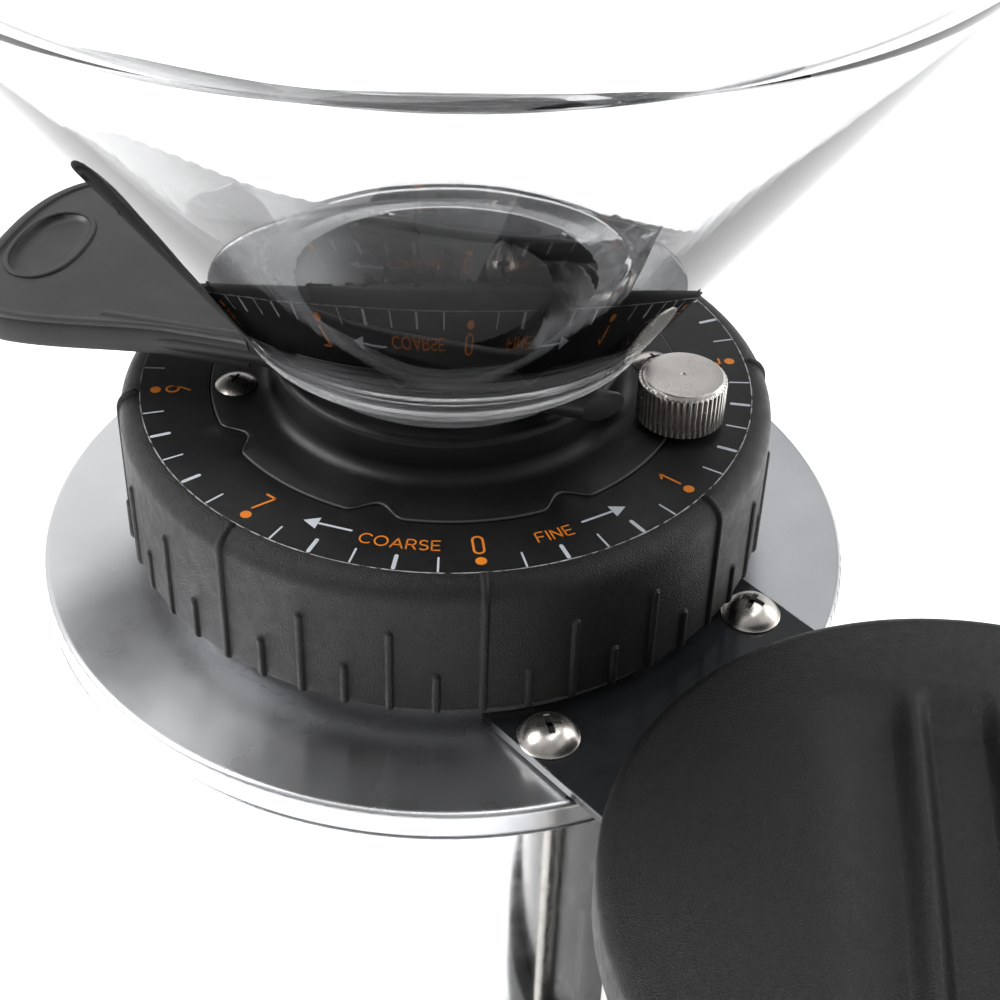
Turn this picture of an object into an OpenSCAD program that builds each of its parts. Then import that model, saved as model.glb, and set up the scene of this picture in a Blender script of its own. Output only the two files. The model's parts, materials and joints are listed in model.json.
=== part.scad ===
// Doser coffee grinder: flat burrs under a graduated adjusting collar, clear hopper with a
// sliding shutter, upright motor housing and a lever-driven dosing chamber in front.
// The front (doser) faces -Y. Z is up and Z = 0 is the surface that the feet stand on.

/* [Body] */
// Outside diameter of the upright motor housing
body_d = 160; // [150:1:192]
// Height of the motor housing tube
tube_h = 217; // [212:1:262]
// Wall of the housing tube
tube_wall = 2.5; // [2:0.5:4]
// Thickness of the top flange
flange_t = 6; // [5:0.5:8]

/* [Base] */
// Height of the base casting
base_h = 34; // [30:1:48]
// How far the round part of the base stands out past the housing
base_margin = 8; // [4:1:12]
// Width of the front part of the base
base_w = 172; // [140:1:178]
// Distance from the housing axis to the front edge of the base
base_front = 195; // [190:1:240]
// Wall of the base casting
base_wall = 3.5; // [2.5:0.5:5]
// Height of the rubber feet below the base
foot_h = 8; // [5:1:12]
// Diameter of the rubber feet
foot_d = 26; // [18:1:30]

/* [Adjusting collar] */
// Outside diameter of the collar
collar_d = 124.4; // [118:0.2:134]
// Height of the collar
collar_h = 28.3; // [24:0.1:34]
// Free height between the flange and the collar
collar_gap = 6.9; // [6:0.1:9]
// Wall of the collar skirt
collar_wall = 3.6; // [3:0.1:5]
// Diameter of the graduated label ring
label_d = 116; // [110:0.5:120]
// Diameter of the notched cover plate inside the label ring
cover_d = 89.7; // [86:0.1:92]
// Thickness of the label ring and of the cover plate
label_t = 1.5; // [1:0.1:2]
// Number of graduations round the collar
marks = 48; // [24:8:64]
// Number of numbered positions
numbers = 8; // [4:1:12]
// Angle of the zero mark from the front
dial_rest = -33; // [-90:1:90]
// Width of a rib on the skirt
rib_w = 1.3; // [0.8:0.1:1.6]

/* [Hub] */
// Diameter of the hub that carries the hopper
hub_d = 67; // [64:0.5:68]
// Height of the hub above the label
hub_h = 9; // [7:0.5:14]
// Bore of the hub
hub_bore = 54.6; // [50:0.2:56]

/* [Burrs and chamber] */
// Burr diameter
burr_d = 64; // [58:1:66]
// Burr bore
burr_bore = 38; // [34:1:40]
// Burr thickness
burr_t = 8; // [6:0.5:9]
// Free distance between the burr faces at rest
burr_gap = 0.6; // [0.5:0.1:1]
// Depth of the burr faces below the top of the flange
burr_drop = 12; // [11:0.5:16]
// Bore of the burr chamber
chamber_d = 80; // [76:1:84]
// Diameter of the adjusting thread
thread_d = 94; // [92:0.5:96]

/* [Motor] */
// Motor shaft diameter
shaft_d = 15; // [12:0.5:17]
// Outside diameter of the ball bearings
bearing_d = 35; // [30:0.5:38]
// Width of the ball bearings
bearing_w = 11; // [9:0.5:12]
// Outside diameter of the stator
stator_d = 120; // [110:1:124]
// Height of the stator stack
stator_h = 70; // [50:1:80]
// Rotor diameter
rotor_d = 71; // [60:1:74]

/* [Hopper] */
// Outside diameter of the hopper's straight rim
hopper_d = 192; // [160:1:230]
// Steepness of the hopper cone
cone_deg = 56; // [45:1:65]
// Height of the straight rim above the cone
hopper_rim_h = 43; // [20:1:60]
// Wall of the hopper
hopper_wall = 3; // [2:0.5:4]
// Diameter of the flat foot of the hopper
lip_d = 77.2; // [72:0.2:80]
// Throat diameter above the shutter
throat_d = 49; // [44:0.5:50]
// Bore of the spigot below the shutter
spigot_bore = 39; // [34:0.5:40]

/* [Shutter] */
// Direction of the shutter handle, measured from the front
shutter_deg = -144; // [-180:1:180]
// Distance of the guide rods from the middle
rod_offset = 20.5; // [19.5:0.1:21]
// Diameter of the guide rods
rod_d = 5.8; // [5:0.1:6]
// Distance from the middle to the end of the paddle
paddle_reach = 90; // [80:1:120]
// Width of the paddle at its end
paddle_w = 54; // [46:1:60]

/* [Doser] */
// Outside diameter of the dosing chamber
doser_d = 112; // [90:1:114]
// Wall of the dosing chamber
doser_wall = 2.5; // [2:0.5:3]
// Height of the dosing chamber
doser_h = 86; // [72:1:104]
// Distance from the housing axis to the doser axis
doser_reach = 137; // [137:1:164]
// Width of the rim that the bridge plate makes round the doser
doser_rim = 4.5; // [4:0.5:7]
// How far the lid stands past the bridge plate's rim
lid_over = 2.5; // [1:0.5:6]
// Number of vanes on the dosing wheel
vanes = 6; // [4:1:8]
// Height of the vanes
vane_h = 34; // [24:1:44]
// Width of the bridge plate that carries the doser
bridge_w = 63; // [58:1:70]
// Thickness of the bridge plate
bridge_t = 1.8; // [1.2:0.1:2.4]
// Thickness of the gasket under the bridge plate
gasket_t = 0.8; // [0.5:0.1:1]

/* [Fits] */
// Radial clearance of a running fit
run_fit = 0.05; // [0.02:0.01:0.09]
// Clearance between pieces that move past each other
free_gap = 0.4; // [0.3:0.05:0.6]
// Clearance of pieces that drop into each other
drop_gap = 0.2; // [0.15:0.05:0.3]

/* [Hidden] */
$fn = 64;
eps = 0.01;

// Main radii
body_r = body_d / 2;
base_r = body_r + base_margin;
collar_r = collar_d / 2;
label_r = label_d / 2;
cover_r = cover_d / 2;
hub_r = hub_d / 2;
burr_r = burr_d / 2;
chamber_r = chamber_d / 2;
thread_r = thread_d / 2;
shaft_r = shaft_d / 2;
bearing_r = bearing_d / 2;
doser_r = doser_d / 2;
hopper_r = hopper_d / 2;
lip_r = lip_d / 2;

// Heights, from the floor up
base_top = foot_h + base_h;
flange_z = base_top + tube_h;
flange_top = flange_z + flange_t;
label_z = flange_top + collar_gap + collar_h;
hub_top = label_z + hub_h;
burr_z = flange_top - burr_drop;

// Lid and doser sizes that the overall depth depends on
rim_r = doser_r + doser_rim;
lid_r = rim_r + lid_over;
hopper_lid_wall = 3;
hopper_lid_r = hopper_r + drop_gap + hopper_lid_wall;

// The origin stands under the middle of the whole machine
front_reach = max(doser_reach + lid_r, base_front);
back_reach = max(hopper_lid_r, base_r + 10);
body_y = (front_reach - back_reach) / 2;
doser_y = body_y - doser_reach;

// Colours
casting_colour = [0.16, 0.16, 0.17];
black_plastic = [0.1, 0.1, 0.11];
aluminium = [0.8, 0.81, 0.82];
steel = [0.7, 0.69, 0.67];
clear_plastic = [0.85, 0.87, 0.9, 0.35];
copper = [0.72, 0.4, 0.2];

// ---------------------------------------------------------------- helpers
module at_body(z = 0) translate([0, body_y, z]) children();
module at_doser(z = 0) translate([0, doser_y, z]) children();

// Children drawn on +X are moved to the angle deg, measured from the front towards +X
module facing(deg) rotate([0, 0, deg - 90]) children();

module ring(r_out, r_in, h) {
    difference() {
        cylinder(r = r_out, h = h);
        translate([0, 0, -1]) cylinder(r = r_in, h = h + 2);
    }
}

module at_points(points) for (p = points) translate([p[0], p[1], 0]) children();

// Half profile of a disc with a rounded upper edge, for rotate_extrude
module rounded_half(r, h, edge) {
    square([r - edge, h]);
    square([r, h - edge]);
    translate([r - edge, h - edge]) intersection() {
        circle(r = edge);
        square(edge + 1);
    }
}

module rounded_disc(r, h, edge) rotate_extrude() rounded_half(r, h, edge);

// Flat outline of a rectangle with round corners, centred
module rounded_rect(w, d, r) {
    square([w - 2 * r, d], center = true);
    square([w, d - 2 * r], center = true);
    for (sx = [-1, 1], sy = [-1, 1]) translate([sx * (w / 2 - r), sy * (d / 2 - r)]) circle(r = r);
}

// Round wire of radius wire_r that climbs h in the given turns
module coil(coil_r, wire_r, h, turns) {
    steps = ceil(turns * 28);
    sides = 8;
    pitch_deg = atan(h / turns / (2 * PI * coil_r));
    points = [
        for (i = [0:steps], k = [0:sides - 1])
            let (a = 360 * turns * i / steps, b = 360 * k / sides, out = coil_r + wire_r * cos(b),
                 up = wire_r * sin(b), lean = -up * sin(pitch_deg))
            [out * cos(a) - lean * sin(a), out * sin(a) + lean * cos(a), h * i / steps + up]
    ];
    walls = [
        for (i = [0:steps - 1], k = [0:sides - 1])
            let (n = (k + 1) % sides)
            each [[i * sides + k, (i + 1) * sides + n, i * sides + n],
                  [i * sides + k, (i + 1) * sides + k, (i + 1) * sides + n]]
    ];
    caps = [[for (k = [0:sides - 1]) k], [for (k = [sides - 1:-1:0]) steps * sides + k]];
    polyhedron(points, concat(walls, caps));
}

// Screw with a domed head that stands on z = 0 and a shank below it
module pan_screw(head_r, head_h, shank_r, shank_l) {
    cross_w = head_r * 0.2;
    cross_l = head_r * 1.1;
    dome_r = (head_r * head_r + head_h * head_h) / (2 * head_h);
    difference() {
        intersection() {
            translate([0, 0, head_h - dome_r]) sphere(r = dome_r);
            cylinder(r = head_r, h = head_h + 1);
        }
        for (a = [0, 90]) rotate([0, 0, a])
            translate([-cross_l / 2, -cross_w / 2, head_h * 0.45]) cube([cross_l, cross_w, head_h]);
    }
    translate([0, 0, -shank_l]) cylinder(r = shank_r, h = shank_l + head_h * 0.2);
}

// ---------------------------------------------------------------- base
foot_side = base_w / 2 - foot_d / 2 - base_wall - 2;
foot_front = base_front - foot_d / 2 - base_wall - 4;
foot_back = base_r * 0.56;
foot_spots = [[-foot_side, -foot_front], [foot_side, -foot_front],
              [-foot_back, foot_back], [foot_back, foot_back]];
boss_inset = 14;
boss_r = 4.5;
cover_t = 2;
boss_spots = [
    [-base_w / 2 + boss_inset, -base_front * 0.62], [base_w / 2 - boss_inset, -base_front * 0.62],
    [-base_r + boss_inset, 0], [base_r - boss_inset, 0]
];
base_corner = 24;
base_deck = 4;
tray_w = 104;
tray_d = 66;
tray_h = 11;
tray_corner = 14;
well_depth = 9;
well_wall = 2.5;
gland_z = foot_h + base_h * 0.5;
gland_r = 8;
switch_w = 30;
switch_h = 18;
switch_y = -base_front * 0.52;
switch_z = foot_h + base_h * 0.52;
bezel_t = 2;

module base_outline(inset = 0) {
    circle(r = base_r - inset);
    translate([0, -(base_front - inset) / 2]) rounded_rect(base_w - 2 * inset, base_front - inset,
        base_corner - inset);
}

module feet() color("dimgray") at_body() at_points(foot_spots) {
    cylinder(r = foot_d / 2, h = foot_h - 2);
    translate([0, 0, foot_h - 2 - eps]) cylinder(r = foot_d / 2 - 2, h = 2 + eps);
}

module base_casting() color(casting_colour) at_body() {
    edge = 3;
    difference() {
        union() {
            translate([0, 0, foot_h]) linear_extrude(base_h - edge) base_outline();
            translate([0, 0, base_top - edge]) linear_extrude(edge) base_outline(edge / 2);
        }
        difference() {
            translate([0, 0, foot_h - 1]) linear_extrude(base_h - base_deck + 1)
                base_outline(base_wall);
            at_points(boss_spots) translate([0, 0, foot_h + cover_t]) cylinder(r = boss_r, h = base_h);
            translate([0, -doser_reach, base_top - well_depth - well_wall]) linear_extrude(base_h)
                rounded_rect(tray_w + 2 * well_wall, tray_d + 2 * well_wall, tray_corner + well_wall);
        }
        translate([0, -doser_reach, base_top - well_depth]) linear_extrude(base_h)
            rounded_rect(tray_w + 2 * drop_gap, tray_d + 2 * drop_gap, tray_corner + drop_gap);
        at_points(boss_spots) translate([0, 0, foot_h - 1]) cylinder(r = 1.6, h = 13);
        translate([0, 0, base_top - base_deck - 1]) cylinder(r = body_r * 0.72, h = base_deck + 2);
        translate([0, base_r + 5, gland_z]) rotate([90, 0, 0]) cylinder(r = gland_r, h = 20);
        translate([base_w / 2 - 10, switch_y - switch_w / 2, switch_z - switch_h / 2])
            cube([20, switch_w, switch_h]);
    }
}

module bottom_cover() color(steel) at_body(foot_h) linear_extrude(cover_t) difference() {
    base_outline(base_wall + drop_gap);
    at_points(boss_spots) circle(r = 1.9);
    for (k = [-4:4]) translate([k * 9, 0]) square([4, 52], center = true);
}

module bottom_screws() color(steel) at_body(foot_h) at_points(boss_spots)
    mirror([0, 0, 1]) pan_screw(3.4, 2, 1.5, 9);

// The well is open above; the tray drops into it and lifts out by its edge
module grounds_tray() color(steel) at_body(base_top - well_depth + free_gap) translate([0, -doser_reach, 0]) {
    difference() {
        union() {
            linear_extrude(tray_h)
                rounded_rect(tray_w - 2 * free_gap, tray_d - 2 * free_gap, tray_corner);
            translate([0, 0, tray_h - 1.6]) linear_extrude(1.6)
                rounded_rect(tray_w + 8, tray_d + 8, tray_corner + 4);
        }
        translate([0, 0, 1.4]) linear_extrude(tray_h) rounded_rect(tray_w - 4, tray_d - 4, tray_corner - 2);
    }
}

module switch_bezel() color(black_plastic) at_body() {
    difference() {
        union() {
            translate([base_w / 2, switch_y - switch_w / 2 - 2, switch_z - switch_h / 2 - 2])
                cube([bezel_t, switch_w + 4, switch_h + 4]);
            translate([base_w / 2 - 20, switch_y, switch_z])
                translate([0, -switch_w / 2 + drop_gap, -switch_h / 2 + drop_gap])
                    cube([20 + eps, switch_w - 2 * drop_gap, switch_h - 2 * drop_gap]);
        }
        translate([base_w / 2 - 14, switch_y - switch_w / 2 + 2, switch_z - switch_h / 2 + 2])
            cube([20, switch_w - 4, switch_h - 4]);
        translate([rocker_pivot_x, switch_y, switch_z - switch_h / 2 + 2 - pivot_l])
            cylinder(r = pivot_r + run_fit, h = switch_h - 4 + 2 * pivot_l);
    }
}

rocker_pivot_x = base_w / 2 - 3;
rocker_tilt = 9;
pivot_r = 1.5;
pivot_l = 1.2;
// Two sloping faces that meet in a shallow V; one half stands proud
module switch_rocker() color([0.7, 0.08, 0.06]) at_body() translate([rocker_pivot_x, switch_y, switch_z]) {
    half = switch_w / 2 - 2 - 1.2;
    high = (switch_h - 4) / 2 - free_gap;
    rotate([0, 0, rocker_tilt]) translate([0, 0, -high]) linear_extrude(2 * high)
        polygon([[5.5, -half], [4, 0], [5.5, half], [-4, half * 0.55], [-4, -half * 0.55]]);
    translate([0, 0, -switch_h / 2 + 2.1 - pivot_l])
        cylinder(r = pivot_r, h = switch_h - 4.2 + 2 * pivot_l);
}

module cable_gland() color(black_plastic) at_body(gland_z) translate([0, base_r - base_wall - 6, 0])
    rotate([-90, 0, 0]) difference() {
        union() {
            cylinder(r = gland_r - drop_gap, h = base_wall + 8);
            translate([0, 0, base_wall + 6.2]) cylinder(r = 11, h = 4, $fn = 6);
            translate([0, 0, base_wall + 10]) cylinder(r = 8.4, h = 4);
            translate([0, 0, -2]) cylinder(r = 11, h = 4);
        }
        translate([0, 0, -3]) cylinder(r = 4.2, h = base_wall + 30);
    }

// ---------------------------------------------------------------- housing and chamber
chute_w = 30;
chute_h = 20;
chute_wall = 2;
chute_top = flange_z - 0.5;
chute_z = chute_top - chute_h;
floor_drop = burr_t + 8.6;
chamber_floor = burr_z - floor_drop;
floor_t = 6;
bowl_wall = 6;
housing_bore = body_r - tube_wall;

module housing_tube() color(aluminium) at_body() difference() {
    translate([0, 0, base_top]) ring(body_r, housing_bore, tube_h);
    translate([-chute_w / 2 - drop_gap, -body_r - 5, chute_z - drop_gap])
        cube([chute_w + 2 * drop_gap, 20, chute_h + 2 * drop_gap]);
    for (s = [-1, 1]) translate([s * fork_screw_x, 0, fork_z + fork_plate_h / 2]) rotate([90, 0, 0])
        cylinder(r = 2.2, h = body_r + 5);
}

// Wall that carries the adjusting thread, inside the collar
guide_r = thread_r + 7;
guide_top = label_z - 12;
bridge_screw_x = bridge_w / 2 - 5.3;
bridge_screw_r = collar_r + 4.3;
// Point in front of the axis at the sideways place x and the distance r
function in_front(x, r) = [x, -sqrt(r * r - x * x)];
// The right screw sits a little closer in than the left one
bridge_screw_spots = [
    in_front(-bridge_screw_x, bridge_screw_r),
    in_front(bridge_screw_x - 1, bridge_screw_r - 0.7)
];

// Turned flange that closes the housing; the burr chamber hangs in its bore
seat_r = thread_r + 3;
module top_flange() color(aluminium) at_body() difference() {
    union() {
        rotate_extrude() {
            translate([seat_r, flange_z]) square([body_r - 1.2 - seat_r, flange_t]);
            translate([seat_r, flange_z + 1.2]) square([body_r - seat_r, flange_t - 2.4]);
            translate([body_r - 1.2, flange_z + 1.2]) circle(r = 1.2);
            translate([body_r - 1.2, flange_top - 1.2]) circle(r = 1.2);
        }
        translate([0, 0, flange_z - 1.5]) ring(housing_bore - drop_gap, housing_bore - 6, 1.5 + eps);
    }
    // room for the outlet chute
    translate([-chute_w / 2 - drop_gap, -body_r, flange_z - 2])
        cube([chute_w + 2 * drop_gap, body_r / 4, 2]);
    at_points(bridge_screw_spots) translate([0, 0, flange_z + 1]) cylinder(r = 2.1, h = flange_t);
    at_points(rod_spots) translate([0, 0, flange_z - 2]) cylinder(r = rod_r, h = 5);
}

// Bowl round the burrs, with the wall that carries the adjusting thread and the upper bearing's seat
module burr_chamber() color(steel) at_body() difference() {
    rotate_extrude() {
        translate([0, flange_top]) square([guide_r, guide_top - flange_top]);
        translate([0, flange_z - 1]) square([seat_r, flange_t + 2]);
        translate([0, chamber_floor - floor_t])
            square([chamber_r + bowl_wall, flange_z - chamber_floor + floor_t]);
        translate([0, chamber_floor - floor_t - bearing_w]) square([bearing_r + 6, bearing_w + floor_t]);
    }
    translate([0, 0, chamber_floor]) cylinder(r = chamber_r, h = flange_top);
    translate([0, 0, flange_top - 3]) cylinder(r = thread_r, h = 60);
    translate([0, 0, chamber_floor - floor_t - bearing_w - 1]) cylinder(r = bearing_r, h = bearing_w + 1);
    cylinder(r = shaft_r + 2, h = flange_top);
    // opening from the burrs to the doser
    translate([-chute_w / 2 + chute_wall, -chamber_r - bowl_wall - 1, chute_z + chute_wall])
        cube([chute_w - 2 * chute_wall, bowl_wall + 6, chute_h - 2 * chute_wall]);
    // room for the chute's top under the seat
    translate([-chute_w / 2 - drop_gap, -body_r, chute_z - drop_gap])
        cube([chute_w + 2 * drop_gap, body_r - chamber_r - bowl_wall + 2, flange_z - chute_z + drop_gap]);
}

module outlet_chute() color(black_plastic) at_body() {
    back = chamber_r + bowl_wall - 3;
    front = doser_reach - doser_r + doser_wall + 1;
    difference() {
        translate([-chute_w / 2, -front, chute_z]) cube([chute_w, front - back, chute_h]);
        translate([-chute_w / 2 + chute_wall, -front - 1, chute_z + chute_wall])
            cube([chute_w - 2 * chute_wall, front - back + 2, chute_h - 2 * chute_wall]);
        translate([0, 0, chute_z - 1]) cylinder(r = chamber_r + bowl_wall, h = chute_h + 2);
    }
}

// ---------------------------------------------------------------- motor
rod_r = 3;
rod_circle = stator_d / 2 + rod_r + 2;
rod_spots = [for (a = [45:90:315]) [rod_circle * cos(a), rod_circle * sin(a)]];
bracket_z = base_top + 50;
bracket_t = 5;
stator_z = bracket_z + 32;
winding_h = 15;
winding_r = rotor_d / 2 + 4;

module motor_bracket() color(aluminium) at_body(bracket_z) difference() {
    union() {
        cylinder(r = rod_circle + rod_r + 2, h = bracket_t);
        translate([0, 0, -bearing_w]) cylinder(r = bearing_r + 6, h = bearing_w + 1);
    }
    translate([0, 0, -bearing_w - 1]) cylinder(r = bearing_r, h = bearing_w + 1);
    translate([0, 0, -1]) cylinder(r = shaft_r + 2, h = bracket_t + 2);
    at_points(rod_spots) translate([0, 0, -1]) cylinder(r = rod_r, h = bracket_t + 2);
    for (a = [0:60:300]) rotate([0, 0, a]) translate([bearing_r + 20, 0, -1])
        cylinder(r = 8, h = bracket_t + 2);
}

module tie_rods() color(steel) at_body() at_points(rod_spots) {
    translate([0, 0, bracket_z - 8]) cylinder(r = rod_r, h = flange_z + 3 - bracket_z + 8);
    translate([0, 0, bracket_z - 5]) cylinder(r = 5.5, h = 5, $fn = 6);
}

module ball_bearing() {
    race = (bearing_r - shaft_r) * 0.3;
    difference() {
        union() {
            ring(bearing_r, bearing_r - race, bearing_w);
            ring(shaft_r + race, shaft_r, bearing_w);
            translate([0, 0, 1.5]) ring(bearing_r - race + eps, shaft_r + race - eps, bearing_w - 3);
        }
        translate([0, 0, -1]) cylinder(r = shaft_r + run_fit, h = bearing_w + 2);
    }
}

module bearings() color(steel) {
    at_body(bracket_z - bearing_w) ball_bearing();
    at_body(chamber_floor - floor_t - bearing_w) ball_bearing();
}

module stator_core() color("dimgray") at_body(stator_z) difference() {
    cylinder(r = stator_d / 2, h = stator_h);
    translate([0, 0, -1]) cylinder(r = rotor_d / 2 + free_gap, h = stator_h + 2);
    for (a = [0:30:330]) rotate([0, 0, a]) translate([winding_r + 7, 0, -1])
        cylinder(r = 4, h = stator_h + 2);
}

module stator_windings() color(copper) at_body() {
    for (z = [stator_z - winding_h, stator_z + stator_h]) translate([0, 0, z])
        ring(winding_r + 15, winding_r, winding_h);
    translate([0, 0, stator_z - eps]) for (a = [0:30:330]) rotate([0, 0, a])
        translate([winding_r + 7, 0, 0]) cylinder(r = 3.6, h = stator_h + 2 * eps);
}

module motor_shaft() color(steel) at_body(bracket_z - bearing_w - 2)
    cylinder(r = shaft_r, h = burr_z + 6 - bracket_z + bearing_w + 2);

module rotor_core() color("dimgray") at_body(stator_z) ring(rotor_d / 2, shaft_r, stator_h);

module cooling_fan() color(black_plastic) at_body(bracket_z + bracket_t + 4) {
    ring(shaft_r + 6, shaft_r, 12);
    ring(rotor_d / 2 - 4, shaft_r, 2);
    for (a = [0:40:320]) rotate([0, 0, a]) translate([shaft_r + 4, -0.8, 0])
        cube([rotor_d / 2 - shaft_r - 9, 1.6, 11]);
}

module run_capacitor() color("gainsboro") at_body() translate([-32, 36, base_top + 22]) rotate([0, 90, 0]) {
    cylinder(r = 16, h = 60);
    translate([0, 0, 60]) cylinder(r = 12, h = 4);
    translate([-2, -22, 8]) cube([4, 44, 44]);
    translate([0, 0, 6]) ring(18, 16 - eps, 4);
}

module terminal_block() color("ivory") at_body(base_top - base_deck - 18) translate([-28, -44, 0])
    difference() {
        cube([56, 18, 18 + base_deck + 4]);
        for (k = [0:3]) translate([5 + 13 * k, -1, 8]) cube([7, 12, 6]);
    }

// ---------------------------------------------------------------- burrs
module burr(teeth_up) {
    slots = 18;
    tooth = 1.2;
    difference() {
        ring(burr_r, burr_bore / 2, burr_t);
        for (k = [0:slots - 1]) rotate([0, 0, 360 * k / slots])
            translate([burr_bore / 2 - 2, 3, teeth_up ? burr_t - tooth : -1])
                rotate([0, 0, 12]) cube([burr_r, 1.6, tooth + 1]);
        for (a = burr_screw_angles) rotate([0, 0, a]) translate([burr_screw_r, 0, -1])
            cylinder(r = 2.1, h = burr_t + 2);
        for (a = burr_screw_angles) rotate([0, 0, a])
            translate([burr_screw_r, 0, teeth_up ? burr_t - 3.5 : -1]) cylinder(r = 3.8, h = 4.5);
    }
}
burr_screw_angles = [0, 120, 240];
burr_screw_r = (burr_r + burr_bore / 2) / 2;
carrier_disc_t = 7;

module burr_screws(head_down) for (a = burr_screw_angles) rotate([0, 0, a]) translate([burr_screw_r, 0, 0])
    mirror([0, 0, head_down ? 1 : 0]) {
        cylinder(r = 3.6, h = 2);
        translate([0, 0, -9]) cylinder(r = 2, h = 9 + eps);
    }

lower_burr_top = burr_z - burr_gap / 2;
module lower_burr() color(steel) at_body(lower_burr_top - burr_t) burr(true);
module lower_burr_screws() color(steel) at_body(lower_burr_top - 3.5) burr_screws(false);

module lower_burr_carrier() color(steel) at_body(lower_burr_top - burr_t - carrier_disc_t) {
    difference() {
        union() {
            cylinder(r = burr_r + 1, h = carrier_disc_t);
            cylinder(r = burr_bore / 2 - drop_gap, h = carrier_disc_t + 5);
            // blades that sweep the grounds to the chute
            for (a = [30:120:270]) rotate([0, 0, a]) translate([burr_r - 2, -3, 0])
                cube([chamber_r - burr_r + 2 - 1, 6, carrier_disc_t - 1]);
        }
        translate([0, 0, -1]) cylinder(r = shaft_r, h = carrier_disc_t + 8);
        for (a = burr_screw_angles) rotate([0, 0, a]) translate([burr_screw_r, 0, 1.2])
            cylinder(r = 2.05, h = carrier_disc_t);
    }
}

module shaft_nut() color(steel) at_body(lower_burr_top - burr_t + 5) difference() {
    union() {
        cylinder(r = 12, h = 6, $fn = 6);
        cylinder(r = 13, h = 1.5);
    }
    translate([0, 0, -1]) cylinder(r = shaft_r, h = 8);
}

upper_burr_z = burr_z + burr_gap / 2;
carrier_r = thread_r - free_gap;
web_t = 4.5;
web_z = label_z - label_t - web_t;
spring_wire = 1.2;
spring_r = (guide_r + collar_r - collar_wall) / 2;
washer_t = 1.5;

module upper_burr() color(steel) at_body(upper_burr_z) burr(false);
module upper_burr_screws() color(steel) at_body(upper_burr_z + 3.5) burr_screws(true);

// Threaded cup: its skirt turns in the chamber's guide wall, its floor holds the upper burr
module upper_burr_carrier() color(casting_colour) at_body() {
    seat_z = upper_burr_z + burr_t;
    cup_floor = max(flange_top - 2, seat_z + 2);
    difference() {
        union() {
            translate([0, 0, seat_z]) cylinder(r = burr_r + 1, h = cup_floor - seat_z + 1);
            translate([0, 0, cup_floor]) cylinder(r = carrier_r, h = web_z - cup_floor);
        }
        translate([0, 0, cup_floor + 5]) difference() {
            cylinder(r = carrier_r - 5, h = web_z);
            cylinder(r = feed_r + 3, h = web_z);
            for (a = [0, 180]) rotate([0, 0, a + dial_rest]) translate([cover_screw_r, 0, -1])
                cylinder(r = 5, h = web_z);
        }
        translate([0, 0, seat_z - 1]) cylinder(r = feed_r, h = 80);
        for (a = [0, 180]) rotate([0, 0, a + dial_rest]) translate([cover_screw_r, 0, web_z - 12])
            cylinder(r = 2.1, h = 20);
        for (a = burr_screw_angles) rotate([0, 0, a]) translate([burr_screw_r, 0, seat_z - 1])
            cylinder(r = 2.05, h = 6.5);
        thumb_position() translate([0, 0, web_z - 4]) cylinder(r = thumb_shank_r + run_fit, h = 8);
    }
}
feed_r = burr_bore / 2 - 0.5;

module thrust_washer() color(steel) at_body(web_z - washer_t - free_gap / 4)
    ring(spring_r + spring_wire + 0.4, spring_r - spring_wire - 0.4, washer_t);

// Reaches from the flange to just under the washer
module preload_spring() color(steel) at_body() {
    spring_h = web_z - washer_t - free_gap / 4 - flange_top - 2 * spring_wire - 0.1;
    translate([0, 0, flange_top + spring_wire + 0.05]) coil(spring_r, spring_wire, spring_h, 4);
}

// ---------------------------------------------------------------- collar and dial
cover_screw_r = 40;
edge_r = collar_r - label_r;
rib_top_medium = collar_h * 0.64;
rib_top_short = collar_h * 0.32;

function rib_height(k) = k % (marks / numbers) == 0 ? collar_h - edge_r
    : k % 2 == 0 ? rib_top_medium : rib_top_short;

module collar_ring() color(casting_colour) at_body() {
    bottom = label_z - collar_h;
    difference() {
        union() {
            translate([0, 0, bottom]) rounded_disc(collar_r, collar_h, edge_r);
            rotate([0, 0, dial_rest - 90]) for (k = [0:marks - 1]) rotate([0, 0, 360 * k / marks])
                translate([collar_r, 0, bottom]) cylinder(r = rib_w / 2, h = rib_height(k), $fn = 16);
        }
        translate([0, 0, bottom - 1]) cylinder(r = collar_r - collar_wall, h = web_z - bottom + 1);
        translate([0, 0, label_z - label_t]) cylinder(r = label_r, h = label_t + 1);
        cylinder(r = hub_bore / 2, h = label_z);
        for (a = [0, 180]) rotate([0, 0, a + dial_rest]) translate([cover_screw_r, 0, web_z - 1])
            cylinder(r = 2.3, h = web_t + 2);
        thumb_position() translate([0, 0, web_z - 1]) cylinder(r = thumb_shank_r + drop_gap, h = web_t + 3);
    }
}

notch_r = 4;
notch_circle = cover_r + 1;
module notched_outline(grow = 0) difference() {
    circle(r = cover_r + grow);
    rotate([0, 0, dial_rest - 90]) for (k = [0:numbers - 1]) rotate([0, 0, 360 * (k + 0.5) / numbers])
        translate([notch_circle, 0]) circle(r = notch_r - grow);
}

module label_ring() color(black_plastic) at_body(label_z - label_t) difference() {
    linear_extrude(label_t) difference() {
        circle(r = label_r - 0.1);
        notched_outline(0.15);
    }
    translate([0, 0, -label_z + label_t]) thumb_position() translate([0, 0, label_z - 5])
        cylinder(r = thumb_shank_r + drop_gap, h = 10);
}

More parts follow.
